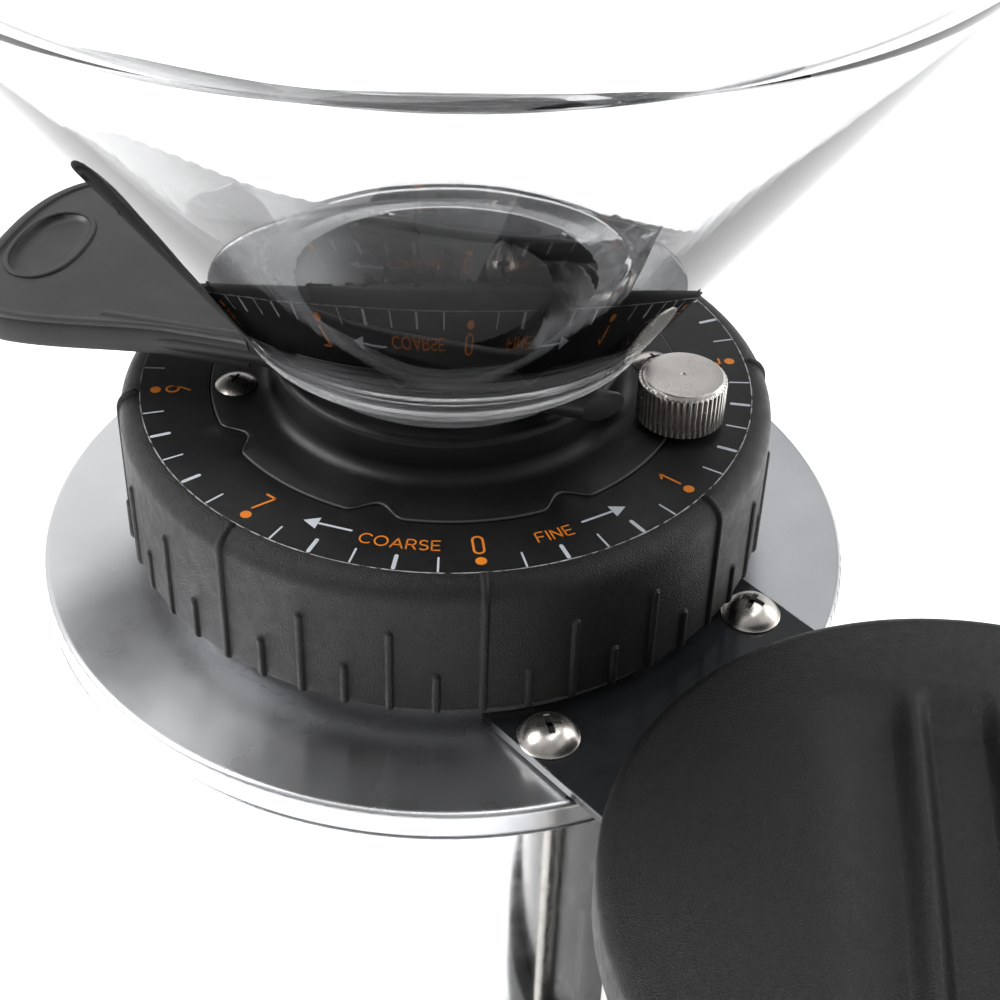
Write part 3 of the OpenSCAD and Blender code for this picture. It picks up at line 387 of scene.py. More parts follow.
def plastic(name, colour, rough, grain=2600, depth=0.35, lighter=None, spread=0.05, **sockets):
    p = Paint(name, colour, rough, **sockets)
    p.vary_rough(p.noise(240, 4), spread)
    p.vary_colour(p.noise(90, 5, 0.6), lighter or tuple(c * 1.35 + 0.002 for c in colour))
    p.bump(p.noise(grain, 2.0, 0.5), depth, 0.00006)
    return p.mat


def grained(name, colour, rough, grain, depth, **sockets):
    """Coarse powder coating: every grain has its own tone and its own tilt."""
    p = Paint(name, colour, rough, **sockets)
    grains = p.node("ShaderNodeTexVoronoi")
    grains.inputs["Scale"].default_value = grain
    p.link(p.coords, grains.inputs["Vector"])
    p.vary_rough(p.noise(400, 4), 0.08)
    p.vary_colour(grains.outputs["Color"], tuple(c * 2.2 + 0.003 for c in colour), 0.55, 1.0)
    p.bump(grains.outputs["Distance"], depth, 0.00012)
    p.bump(p.noise(grain * 0.8, 2.0, 0.5), depth * 0.4, 0.00006)
    return p.mat


def metal(name, colour, rough, scratch=1200, depth=0.12, spread=0.05, stretch=(1, 1, 1), **sockets):
    p = Paint(name, colour, rough, 1.0, **sockets)
    p.vary_rough(p.noise(180, 5, 0.6), spread)
    p.vary_colour(p.noise(60, 4), tuple(c * 0.9 for c in colour))
    p.bump(p.noise(scratch, 4, 0.6, stretch), depth, 0.00003)
    return p.mat


def turned(name, colour, rough, cx, cy, ring_scale, depth, aniso):
    """Lathe-turned metal with its highlights fanned round a vertical axis."""
    p = Paint(name, colour, rough, 1.0, Anisotropic=aniso, Anisotropic_Rotation=0.25)
    r = p.radius(cx, cy)
    p.vary_rough(p.noise(45, 3), 0.04)
    p.vary_colour(p.noise(35, 3), tuple(c * 0.93 for c in colour))
    p.bump(p.rings(r, ring_scale), depth, 0.000012)
    p.tangent()
    return p.mat


def clear(name, tint, rough=0.015):
    p = Paint(name, tint, rough, Transmission_Weight=1.0, IOR=1.49)
    p.vary_rough(p.noise(70, 4), 0.012)
    p.bump(p.noise(26, 2, 0.4), 0.12, 0.0006)
    return p.mat


def milky_foot(name, tint, rough):
    """Clear plastic whose thick foot round the throat scatters a little."""
    p = Paint(name, tint, rough, IOR=1.49)
    r = p.radius(AX, AY)
    xyz = p.node("ShaderNodeSeparateXYZ")
    p.link(p.coords, xyz.inputs[0])
    low = p.remap(xyz.outputs["Z"], (FOOT_Z + 2.5) * MM, (FOOT_Z + 4.5) * MM, 1.0, 0.0)
    wide = p.remap(r, 0.0248, 0.0262, 0.0, 1.0)
    mask = p.node("ShaderNodeMath", operation="MULTIPLY")
    p.link(low, mask.inputs[0])
    p.link(wide, mask.inputs[1])
    streak = p.node("ShaderNodeMath", operation="MULTIPLY")
    p.link(mask.outputs[0], streak.inputs[0])
    p.link(p.remap(p.noise(60, 3), 0.3, 0.7, 0.5, 1.0), streak.inputs[1])
    p.link(p.remap(streak.outputs[0], 0, 1, 1.0, 0.70), p.bsdf.inputs["Transmission Weight"])
    p.link(p.remap(streak.outputs[0], 0, 1, rough, 0.12), p.bsdf.inputs["Roughness"])
    p.bump(p.noise(26, 2, 0.4), 0.12, 0.0006)
    return p.mat


M = {}
M["coating"] = grained("collar_coating", (0.0080, 0.0074, 0.0070), 0.42, 4000, 0.9,
                       Specular_IOR_Level=0.33)
M["label"] = plastic("label_black", (0.0065, 0.0065, 0.0068), 0.40, 4200, 0.3, spread=0.04,
                     Specular_IOR_Level=0.3)
M["plate"] = plastic("cover_coating", (0.0065, 0.0063, 0.0061), 0.40, 3400, 0.55,
                     Specular_IOR_Level=0.32)
M["plate_rim"] = plastic("cover_edge", (0.055, 0.055, 0.056), 0.4, 4200, 0.3)
M["gloss"] = plastic("gloss_black", (0.014, 0.0152, 0.017), 0.15, 1200, 0.12, spread=0.03)
M["bright_edge"] = metal("bare_edge", (0.62, 0.63, 0.65), 0.3, 1500, 0.3, 0.08)
M["orange"] = plastic("print_orange", (0.90, 0.27, 0.010), 0.5, 5200, 0.15, (0.80, 0.22, 0.012))
M["white"] = plastic("print_white", (0.70, 0.73, 0.78), 0.5, 5200, 0.15, (0.58, 0.61, 0.66))
M["worn"] = plastic("label_edge_worn", (0.60, 0.60, 0.59), 0.6, 5200, 0.4, (0.30, 0.30, 0.30))
M["nickel"] = metal("nickel_steel", (0.66, 0.625, 0.58), 0.27, 900, 0.15)
M["recess"] = plastic("recess_shadow", (0.012, 0.011, 0.010), 0.6, 2400, 0.4)
M["shutter"] = plastic("satin_black", (0.019, 0.0185, 0.018), 0.36, 3600, 0.25, Specular_IOR_Level=0.4)
M["lid"] = grained("lid_black", (0.0052, 0.0052, 0.0054), 0.42, 3600, 0.9, Specular_IOR_Level=0.27)
M["black_plastic"] = plastic("black_plastic", (0.02, 0.02, 0.021), 0.4, 3000, 0.3)
M["casting"] = plastic("black_casting", (0.018, 0.018, 0.019), 0.52, 1100, 0.8, spread=0.06)
M["rubber"] = plastic("foot_rubber", (0.022, 0.022, 0.023), 0.75, 1500, 0.6)
M["red"] = plastic("red_plastic", (0.45, 0.02, 0.012), 0.32, 3000, 0.2)
M["gasket"] = plastic("gasket_rubber", (0.03, 0.03, 0.03), 0.7, 1800, 0.5)
M["clear"] = milky_foot("clear_plastic", (0.97, 0.975, 0.98), 0.015)
M["smoked"] = clear("smoked_clear", (0.80, 0.79, 0.77), 0.03)
M["turned"] = turned("turned_aluminium", (0.74, 0.75, 0.765), 0.27, AX, AY, 9000, 0.12, 0.75)
M["polished"] = metal("polished_aluminium", (0.84, 0.845, 0.85), 0.10, 700, 0.06, 0.03, (1, 1, 0.05))
M["cast"] = metal("cast_aluminium", (0.62, 0.62, 0.63), 0.42, 700, 0.6, 0.08)
M["steel"] = metal("stainless_sheet", (0.66, 0.655, 0.645), 0.24, 900, 0.15, 0.06, (1, 14, 1))
M["bearing"] = metal("bearing_steel", (0.6, 0.6, 0.6), 0.2)
M["burr"] = metal("burr_steel", (0.42, 0.42, 0.43), 0.32, 900, 0.3)
M["zinc"] = metal("zinc_steel", (0.62, 0.64, 0.66), 0.34, 600, 0.3)
M["lamination"] = metal("lamination_steel", (0.25, 0.25, 0.26), 0.5, 1500, 0.6, 0.05, (0.05, 0.05, 1))
M["copper"] = metal("copper_wire", (0.72, 0.32, 0.14), 0.33, 900, 0.5, 0.05, (1, 1, 0.1))
M["spring"] = metal("spring_steel", (0.4, 0.4, 0.41), 0.3)
M["shell"] = plastic("capacitor_shell", (0.5, 0.5, 0.49), 0.4)
M["terminal"] = plastic("terminal_plastic", (0.6, 0.57, 0.47), 0.45)

SLOT_PAINT = {
    "foot_rubber": "rubber", "black_casting": "casting", "zinc_sheet": "zinc", "zinc_steel": "zinc",
    "polished_aluminium": "polished", "turned_aluminium": "turned", "cast_aluminium": "cast",
    "bearing_steel": "bearing", "lamination_steel": "lamination", "copper_wire": "copper",
    "capacitor_shell": "shell", "terminal_plastic": "terminal", "black_plastic": "black_plastic",
    "gasket_rubber": "gasket", "gloss_black": "gloss",
    "nickel_steel": "nickel", "stainless_sheet": "steel", "smoked_clear": "smoked",
    "spring_steel": "spring", "burr_steel": "burr", "collar_coating": "coating",
    "label_print": "label", "clear_plastic": "clear", "satin_black": "shutter",
    "lid_black": "lid", "red_plastic": "red",
}
for node in frame["nodes"].values():
    for s in node.material_slots:
        base = s.material.name.split(".")[0] if s.material else ""
        if base in SLOT_PAINT:
            s.material = M[SLOT_PAINT[base]]


# ------------------------------------------------------------------ collar

MARKS = 48
NUMBERS = 8
STEP = 2 * pi / MARKS
STEP_DEG = 360 / MARKS
NUMBER_R, NUMBER_H = 50.9, 4.4
WORD_H, WORD_STROKE = 2.45, 0.29
DOT_R = 55.1
PLATE_R = 44.85
RIM_STEPS = 1152
EDGE = COLLAR_R - LABEL_R
WEB_Z = LABEL_Z - 6.0
WALL = 3.6
RECESS_Z = LABEL_LO[2]
SHORT_RIB_TOP, LONG_RIB_TOP = LABEL_Z - 19.3, LABEL_Z - 10.1
RIB_TOPS = {0: LABEL_Z + 5, 1: SHORT_RIB_TOP, 2: LONG_RIB_TOP}


def rib_kind(k):
    """0 at a number (rib up to the dial), 2 at an even mark, 1 at an odd one."""
    return 0 if k % (MARKS // NUMBERS) == 0 else (2 if k % 2 == 0 else 1)


def rib_offset(a, z):
    """How far the skirt stands out because of the nearest rib."""
    t = (a - radians(DIAL_ZERO)) / STEP
    k = round(t)
    s = (t - k) * STEP * COLLAR_R
    top = RIB_TOPS[rib_kind(k % MARKS)]
    half = 0.8
    d = hypot(s, max(0.0, z - (top - half)))
    if d > half:
        return 0.0
    q = d / half
    return RIB_PROUD * (1 - q ** 2.6) ** 0.8 * smoothstep((1 - q) * 5)


def build_collar():
    angles = []
    for k in range(MARKS):
        base = k * STEP + radians(DIAL_ZERO)
        for s in (-3.2, -2.0, -1.3, -0.95, -0.82, -0.7, -0.56, -0.4, -0.2, 0,
                  0.2, 0.4, 0.56, 0.7, 0.82, 0.95, 1.3, 2.0, 3.2):
            angles.append(base + s / COLLAR_R)
    angles.sort()
    rows = []
    for k in range(15):
        t = pi / 2 * k / 14
        rows.append(("edge", LABEL_R + EDGE * sin(t), LABEL_Z - EDGE + EDGE * cos(t),
                     sin(t), cos(t)))
    levels = []
    z = LABEL_Z - EDGE - 0.6
    fine = [LONG_RIB_TOP, SHORT_RIB_TOP]
    while z > COLLAR_BOTTOM + 0.75:
        levels.append(z)
        near = min(abs(z - f + 0.3) for f in fine)
        z -= 0.17 if near < 1.3 else 0.9
    rows += [("side", COLLAR_R, lz, 1.0, 0.0) for lz in levels]
    for k in range(5):
        t = pi / 2 * k / 4
        rows.append(("side", COLLAR_R - 0.7 + 0.7 * cos(t), COLLAR_BOTTOM + 0.7 - 0.7 * sin(t),
                     cos(t), -sin(t)))
    inside = [(COLLAR_R - WALL + 0.4, COLLAR_BOTTOM), (COLLAR_R - WALL, COLLAR_BOTTOM + 0.4),
              (COLLAR_R - WALL, WEB_Z), (HUB_BORE, WEB_Z), (HUB_BORE, RECESS_Z),
              (LABEL_R + 0.05, RECESS_Z), (LABEL_R + 0.05, LABEL_Z - 0.12)]
    outer = []
    for kind, r, z, nr, nz in rows:
        def row(a, r=r, z=z, nr=nr, nz=nz, kind=kind):
            level = z if kind == "side" else min(z, LABEL_Z - EDGE)
            off = rib_offset(a, level if kind == "side" else LABEL_Z - EDGE)
            if kind == "edge":
                off *= smoothstep((r - LABEL_R) / 0.9)
            return r + off * nr, z + off * nz
        outer.append(row)
    put("collar", [polar(outer + inside, angles, AX, AY)], M["coating"], "collar",
        ("collar_ring",), 50)


def plate_edge(a, grow=0.0):
    """Radius of the notched outline at an angle."""
    t = (a - radians(DIAL_ZERO)) / (2 * pi / NUMBERS) - 0.5
    s = abs(t - round(t)) * (2 * pi / NUMBERS) * PLATE_R
    return PLATE_R + grow - 3.3 * (0.5 + 0.5 * cos(pi * min(1.0, s / (5.3 + grow)))) ** 0.85


def build_label():
    angles = turn(RIM_STEPS)
    z0, z1 = RECESS_Z + 0.02, LABEL_Z - 0.02
    rows = [(lambda a: (plate_edge(a, 0.14), z0)), (LABEL_R - 0.1, z0), (LABEL_R - 0.1, z1 - 0.1),
            (LABEL_R - 0.18, z1 - 0.02), (LABEL_R - 0.3, z1), (54.0, z1), (50.0, z1),
            (lambda a: (plate_edge(a, 0.5), z1)), (lambda a: (plate_edge(a, 0.26), z1 - 0.05)),
            (lambda a: (plate_edge(a, 0.14), z1 - 0.2))]
    put("label_face", [polar(rows, angles, AX, AY)], M["label"], "collar",
        ("label_ring",))

    top = PLATE_TOP
    foot, lip, mouth = 3, 1.5, 0.9
    rows = [(HUB_BORE, PLATE_LO[2] + 0.02), (lambda a: (plate_edge(a, -0.02), PLATE_LO[2] + 0.02)),
            (lambda a: (plate_edge(a, -0.02), top - 0.3)),
            (lambda a: (plate_edge(a, -0.1), top - 0.1)),
            (lambda a: (plate_edge(a, -0.32), top)), (40.0, top), (HUB_R + foot, top)]
    rows += [(HUB_R + foot - foot * sin(t), top + foot - foot * cos(t)) for t in quarter(8)[1:]]
    rows += [(HUB_R - lip + lip * cos(t), HUB_TOP - lip + lip * sin(t)) for t in quarter(7)]
    rows += [(HUB_BORE + mouth - mouth * sin(t), HUB_TOP - mouth + mouth * cos(t)) for t in quarter(5)]
    put("hub_plate", [polar(rows, angles, AX, AY)], M["plate"], "collar",
        ("cover_plate",))

    # bare rim round the notched plate
    rows = [(lambda a: (plate_edge(a, -0.34), top - 0.05)),
            (lambda a: (plate_edge(a, -0.3), top + 0.02)),
            (lambda a: (plate_edge(a, -0.06), top - 0.06)),
            (lambda a: (plate_edge(a, 0.0), top - 0.24)),
            (lambda a: (plate_edge(a, -0.1), top - 0.24))]
    put("hub_plate_edge", [polar(rows, angles, AX, AY)], M["plate_rim"], "collar")

    # worn lip of the label, thin and uneven
    wear = [max(0.0, 0.5 + sum(random.uniform(-0.3, 0.3) for _ in range(3)))
            for _ in range(RIM_STEPS)]
    wear = [(wear[i - 2] + wear[i - 1] + 2 * wear[i] + wear[(i + 1) % RIM_STEPS]) / 5
            for i in range(RIM_STEPS)]

    def worn(side, lift):
        def row(a):
            w = wear[int(round(a / (2 * pi) * RIM_STEPS)) % RIM_STEPS]
            return (LABEL_R + 0.02 + side * (0.03 + 0.18 * w),
                    LABEL_Z - 0.06 + lift * (0.03 + 0.08 * w))
        return row
    rows = [worn(-1, 0), worn(-0.7, 1), worn(0.7, 1), worn(1, 0), worn(0, -1)]
    put("label_edge", [polar(rows, angles, AX, AY)], M["worn"], "collar")


# ------------------------------------------------------------------ printing on the dial


def arc_path(cx, cy, rx, ry, a0, a1, n=14):
    turns = [radians(a0 + (a1 - a0) * k / n) for k in range(n + 1)]
    return [(cx + rx * cos(t), cy + ry * sin(t)) for t in turns]


def glyph(ch):
    """Strokes (path, closed) of a character one unit high, and its width."""
    if ch == "0":
        top = arc_path(0.2, 0.8, 0.2, 0.2, 0, 180, 10)
        low = arc_path(0.2, 0.2, 0.2, 0.2, 180, 360, 10)
        return [(top + low, True)], 0.4
    if ch == "1":
        return [([(0.02, 0.78), (0.22, 1.0), (0.22, 0.0)], False)], 0.3
    if ch == "2":
        return [(arc_path(0.21, 0.78, 0.21, 0.22, 170, -30, 12)
                 + [(0.0, 0.0), (0.44, 0.0)], False)], 0.44
    if ch == "3":
        return [(arc_path(0.2, 0.76, 0.19, 0.24, 150, -90, 12)
                 + arc_path(0.2, 0.26, 0.22, 0.26, 90, -150, 12), False)], 0.42
    if ch == "4":
        return [([(0.34, 0.0), (0.34, 1.0), (0.0, 0.26), (0.46, 0.26)], False)], 0.46
    if ch == "5":
        return [([(0.4, 1.0), (0.06, 1.0), (0.03, 0.56)]
                 + arc_path(0.2, 0.32, 0.22, 0.32, 110, -140, 14), False)], 0.42
    if ch == "6":
        return [(arc_path(0.22, 0.26, 0.22, 0.26, 0, 360, 20)[:-1], True),
                ([(0.36, 1.0), (0.12, 0.62), (0.01, 0.3)], False)], 0.44
    if ch == "7":
        return [([(0.0, 1.0), (0.44, 1.0), (0.12, 0.0)], False)], 0.44
    if ch == "C":
        return [(arc_path(0.46, 0.5, 0.46, 0.5, 48, 312, 18), False)], 0.82
    if ch == "O":
        return [(arc_path(0.46, 0.5, 0.46, 0.5, 0, 360, 24)[:-1], True)], 0.92
    if ch == "A":
        return [([(0.0, 0.0), (0.42, 1.0), (0.84, 0.0)], False),
                ([(0.14, 0.32), (0.70, 0.32)], False)], 0.84
    if ch == "R":
        return [([(0.0, 0.0), (0.0, 1.0), (0.3, 1.0)] + arc_path(0.34, 0.73, 0.27, 0.27, 90, -90, 10)
                 + [(0.0, 0.46)], False), ([(0.36, 0.46), (0.64, 0.0)], False)], 0.64
    if ch == "S":
        return [(arc_path(0.3, 0.75, 0.27, 0.25, 35, 270, 14)
                 + arc_path(0.3, 0.25, 0.29, 0.25, 90, -145, 14), False)], 0.6
    if ch == "E":
        return [([(0.56, 1.0), (0.0, 1.0), (0.0, 0.0), (0.56, 0.0)], False),
                ([(0.0, 0.52), (0.5, 0.52)], False)], 0.58
    if ch == "F":
        return [([(0.56, 1.0), (0.0, 1.0), (0.0, 0.0)], False),
                ([(0.0, 0.5), (0.5, 0.5)], False)], 0.56
    if ch == "I":
        return [([(0.0, 0.0), (0.0, 1.0)], False)], 0.0
    if ch == "N":
        return [([(0.0, 0.0), (0.0, 1.0), (0.66, 0.0), (0.66, 1.0)], False)], 0.66
    raise KeyError(ch)


def split(path, closed):
    """Cuts a path at its sharp corners, so that each stroke bends gently."""
    if closed:
        return [(path, True)]
    parts, cur = [], [path[0]]
    for i in range(1, len(path) - 1):
        cur.append(path[i])
        a = math.atan2(path[i][1] - path[i - 1][1], path[i][0] - path[i - 1][0])
        b = math.atan2(path[i + 1][1] - path[i][1], path[i + 1][0] - path[i][0])
        if abs((b - a + pi) % (2 * pi) - pi) > 0.6:
            parts.append((cur, False))
            cur = [path[i]]
    cur.append(path[-1])
    parts.append((cur, False))
    return parts


PRINT_Z0, PRINT_Z1 = LABEL_Z - 0.06, LABEL_Z + 0.015


def word(text, mid_deg, mid_r, height, width, gap):
    """Shells for a word that reads from outside, set along the dial."""
    shells = []
    widths = [glyph(c)[1] for c in text]
    total = sum(widths) * height + gap * (len(text) - 1)
    x = -total / 2
    for ch, w in zip(text, widths):
        centre = mid_deg + math.degrees((x + w * height / 2) / mid_r)

        def place(px, py, centre=centre, w=w):
            side = (px - w / 2) * height
            out = mid_r - (py - 0.5) * height
            cx, cy = facing(centre + DIAL_ZERO)
            return AX + cx * out - cy * side, AY + cy * out + cx * side
        for path, closed in glyph(ch)[0]:
            for part, ring in split(path, closed):
                flat = [place(*p) for p in part]
                shells.append(ribbon(flat, width, PRINT_Z0, PRINT_Z1, ring))
        x += w * height + gap
    return shells


def printed(outline):
    """Flat mark with the thickness of the print."""
    return loft([[(x, y, z) for x, y in outline] for z in (PRINT_Z0, PRINT_Z1)])


def disc(x, y, r):
    return printed([(x + r * cos(a), y + r * sin(a)) for a in turn(28)])


def arrow(tail, tip):
    """Shaft and head of an arrow between two points (degrees, radius) of the dial."""
    a, b = dial_point(*tail), dial_point(*tip)
    dx, dy = b[0] - a[0], b[1] - a[1]
    s = hypot(dx, dy)
    dx, dy = dx / s, dy / s
    neck = (b[0] - 2.7 * dx, b[1] - 2.7 * dy)
    half = 1.55
    shaft = [a, (neck[0] - 0.25 * dx, neck[1] - 0.25 * dy)]
    head = [b, (neck[0] - half * dy, neck[1] + half * dx), (neck[0] + half * dy, neck[1] - half * dx)]
    return [ribbon(shaft, 0.46, PRINT_Z0, PRINT_Z1), printed(head)]


def build_print():
    orange, white = [], []
    outer, inner = LABEL_R - 0.18, LABEL_R - 4.1
    for k in range(NUMBERS):
        deg = 360 / NUMBERS * k
        orange += word(str(k), deg, NUMBER_R, NUMBER_H, 0.42, 0)
        orange.append(disc(*dial_point(deg, DOT_R), 1.0))
        for j in range(1, MARKS // NUMBERS):
            a = deg + STEP_DEG * j
            w = 0.72 if j % 2 == 0 else 0.36
            ends = [dial_point(a, inner + w / 2), dial_point(a, outer - w / 2)]
            white.append(ribbon(ends, w, PRINT_Z0, PRINT_Z1))
    orange += word("COARSE", -15.1, NUMBER_R, WORD_H, WORD_STROKE, 0.62)
    orange += word("FINE", 15.2, NUMBER_R, WORD_H, WORD_STROKE, 0.72)
    white += arrow((-25.2, 49.75), (-35.2, 50.6)) + arrow((21.9, 50.0), (32.0, 50.6))
    put("dial_numbers", orange, M["orange"], "collar")
    put("dial_ticks", white, M["white"], "collar")


# ------------------------------------------------------------------ screws


def cross_arm(cx, cy, deg, levels):
    """One arm of a cross, lofted through (z, half length, half width)."""
    ux, uy = cos(radians(deg)), sin(radians(deg))
    return loft([[(cx + ux * i * l - uy * j * w, cy + uy * i * l + ux * j * w, z)
                  for i, j in ((-1, -1), (1, -1), (1, 1), (-1, 1))] for z, l, w in levels])


def crossed(name, head, cx, cy, top, arm, width, depth, spin, body, stands_for):
    """A turned nickel head with a Phillips recess, with a dark cross at its bottom as painted shade."""
    cut = ((top - depth, arm * 0.35, width * 0.45), (top + 1, arm * 1.12, width * 1.1))
    # painted shade: a near-black cross fills the lower part of the recess
    shade_fill = ((top - depth * 0.98, arm * 0.33, width * 0.43), (top - depth * 0.3, arm * 0.8, width * 0.78))
    put(name + "_recess", [cross_arm(cx, cy, spin + q, shade_fill) for q in (0, 90)], M["recess"], body)
    me = boolean(name, [polar(head, turn(96), cx, cy)],
                 [[cross_arm(cx, cy, spin + q, cut)] for q in (0, 90)])
    dress(name, me, M["nickel"], body, stands_for, 30)


def dome(r, z0, rim, h, n=12):
    """Half profile of a domed head with a thin rim, closed along the axis."""
    rad = (r * r + h * h) / (2 * h)
    span = math.asin(min(1, r / rad))
    arc = [(rad * sin(span * k / n), z0 + rim + h - rad + rad * cos(span * k / n))
           for k in range(n + 1)]
    return [(0, z0), (r, z0), (r + 0.12, z0 + 0.15), (r + 0.12, z0 + rim - 0.1)] + arc[::-1]


def build_screws():
    z = PLATE_TOP
    for k, deg in enumerate((-90, 90)):
        x, y = dial_point(deg, 40)
        crossed("cover_screw_%d" % (k + 1), dome(3.85, z, 0.25, 1.5), x, y, z + 1.75,
                2.2, 0.42, 1.1, 28 + 50 * k, "collar", ("cover_screws",))
    lo, hi = box_mm("bridge_screws")
    z = box_mm("bridge_plate")[1][2]
    rim = 5.7
    for k, (x, y) in enumerate(((lo[0] + rim, lo[1] + rim), (hi[0] - rim, hi[1] - rim))):
        crossed("bridge_screw_%d" % (k + 1), dome(5.5, z, 0.5, 3.35), x, y, z + 3.85,
                3.1, 0.68, 2.2, 62 - 40 * k, "frame", ("bridge_screws",))


def build_bridge_edge():
    """Bare line along the upper edge of the bridge plate."""
    lo, hi = box_mm("bridge_plate")
    z = hi[2]
    rim = DY - lo[1] - 0.1
    half, root = 31.5, AY - 64
    start = math.asin(half / rim)
    loop = [(DX - half, root)]
    for k in range(61):
        a = start + (2 * pi - 2 * start) * k / 60
        loop.append((DX - rim * sin(a), DY + rim * cos(a)))
    loop.append((DX + half, root))
    points, faces = [], []
    m = 8
    for i, (x, y) in enumerate(loop):
        a, b = loop[max(i - 1, 0)], loop[min(i + 1, len(loop) - 1)]
        tx, ty = b[0] - a[0], b[1] - a[1]
        s = hypot(tx, ty)
        for k in range(m):
            q = 2 * pi * k / m
            off = 0.17 * cos(q)
            points.append((x - ty / s * off, y + tx / s * off, z - 0.06 + 0.12 * sin(q)))
    for i in range(len(loop) - 1):
        for k in range(m):
            q = (k + 1) % m
            faces.append((i * m + k, (i + 1) * m + k, (i + 1) * m + q, i * m + q))
    faces += [tuple(range(m)), tuple((len(loop) - 1) * m + k for k in range(m))]
    put("bridge_edge", [(points, faces)], M["bright_edge"], "frame")


def build_thumb_screw():
    lo, hi = box_mm("thumb_screw")
    cx, cy = (lo[0] + hi[0]) / 2, (lo[1] + hi[1]) / 2
    r = (hi[0] - lo[0]) / 2
    top = hi[2]
    base = LABEL_Z + 0.7
    flutes = 46

    def knurl(z, fade):
        def row(a):
            wave = abs(sin(a * flutes / 2))
            return r - 0.42 * fade * (1 - wave) ** 1.3 - 0.1 * (1 - fade), z
        return row
    rows = [(0, base), (r - 1.3, base), (r - 0.9, base + 0.25), knurl(base + 0.65, 0.5),
            knurl(base + 0.8, 1), knurl(base + 3, 1), knurl(base + 6, 1), knurl(top - 1.0, 1),
            knurl(top - 0.85, 0.5), (r - 0.5, top - 0.62), (r - 0.72, top - 0.2),
            (r - 0.95, top - 0.04), (r - 1.25, top), (5.2, top), (2.6, top), (0.5, top),
            (0.35, top - 0.12), (0, top - 0.3)]
    shaft = polar([(0, base + 1), (2.5, base + 1), (2.5, lo[2] + 0.4), (2.1, lo[2]), (0, lo[2])],
                  turn(48), cx, cy)
    p = Paint("thumb_nickel", (0.66, 0.63, 0.59), 0.24, 1.0, Anisotropic=0.7,
              Anisotropic_Rotation=0.25)
    ring = p.radius(cx, cy)
    p.vary_rough(p.noise(320, 4), 0.06)
    p.bump(p.rings(ring, 5200), 0.5, 0.00003)
    p.bump(p.noise(1500, 3), 0.15, 0.00003)
    p.tangent()
    put("thumb_knob", [polar(rows, turn(flutes * 8), cx, cy), shaft], p.mat, "thumb_screw",
        ("thumb_screw",), 28)


# ------------------------------------------------------------------ hopper and shutter

SU = JOINT["shutter_pull"]["axis"]
SU = (SU[0] / hypot(SU[0], SU[1]), SU[1] / hypot(SU[0], SU[1]))
SN = (-SU[1], SU[0])


def along(u, n, z):
    """Point u along the shutter's travel and n across it, from the dial's axis."""
    return AX + u * SU[0] + n * SN[0], AY + u * SU[1] + n * SN[1], z


def build_hopper():
    lo, hi = box_mm("hopper")
    gate = box_mm("shutter_slide")[0][2] - 0.1
    r_out = (hi[0] - lo[0]) / 2
    lip_z, top = lo[2], hi[2]
    bottom = box_mm("gate_housing")[0][2]
    lip = 38.6
    cone = lip_z + 2.2
    wall, slope, throat, neck = 3, radians(56), 19.5, 30.0
    plug = HUB_BORE - 0.2
    rise = (r_out - lip) * math.tan(slope)
    slant = wall / sin(slope)
    profile = rounded([
        (throat, bottom, 0.5), (plug, bottom, 0.8), (plug, HUB_TOP + 0.1, 0.2),
        (neck, HUB_TOP + 0.1, 0.6), (neck, lip_z, 0.8), (lip - 0.3, lip_z, 0.9),
        (lip, cone - 0.6, 1.2), (r_out, cone + rise, 9), (r_out, top, 1.2),
        (r_out - wall, top, 1.2), (r_out - wall, cone + rise + 0.8, 7),
        (lip - slant + 0.9, lip_z + 3, 2.4), (25.4, lip_z - 2.2, 0.8), (24.9, gate + 1, 0.3),
        (throat, gate + 0.5, 0.4)])
    body = polar(profile, turn(224), AX, AY)
    half = 23.6
    slot = loft([[along(u, n, z) for u, n in ((-60, -half), (60, -half), (60, half), (-60, half))]
                 for z in (gate, lip_z)])
    me = boolean("hopper_clear", [body], [[slot]])
    dress("hopper_clear", me, M["clear"], "hopper", ("hopper", "gate_housing"), 30)


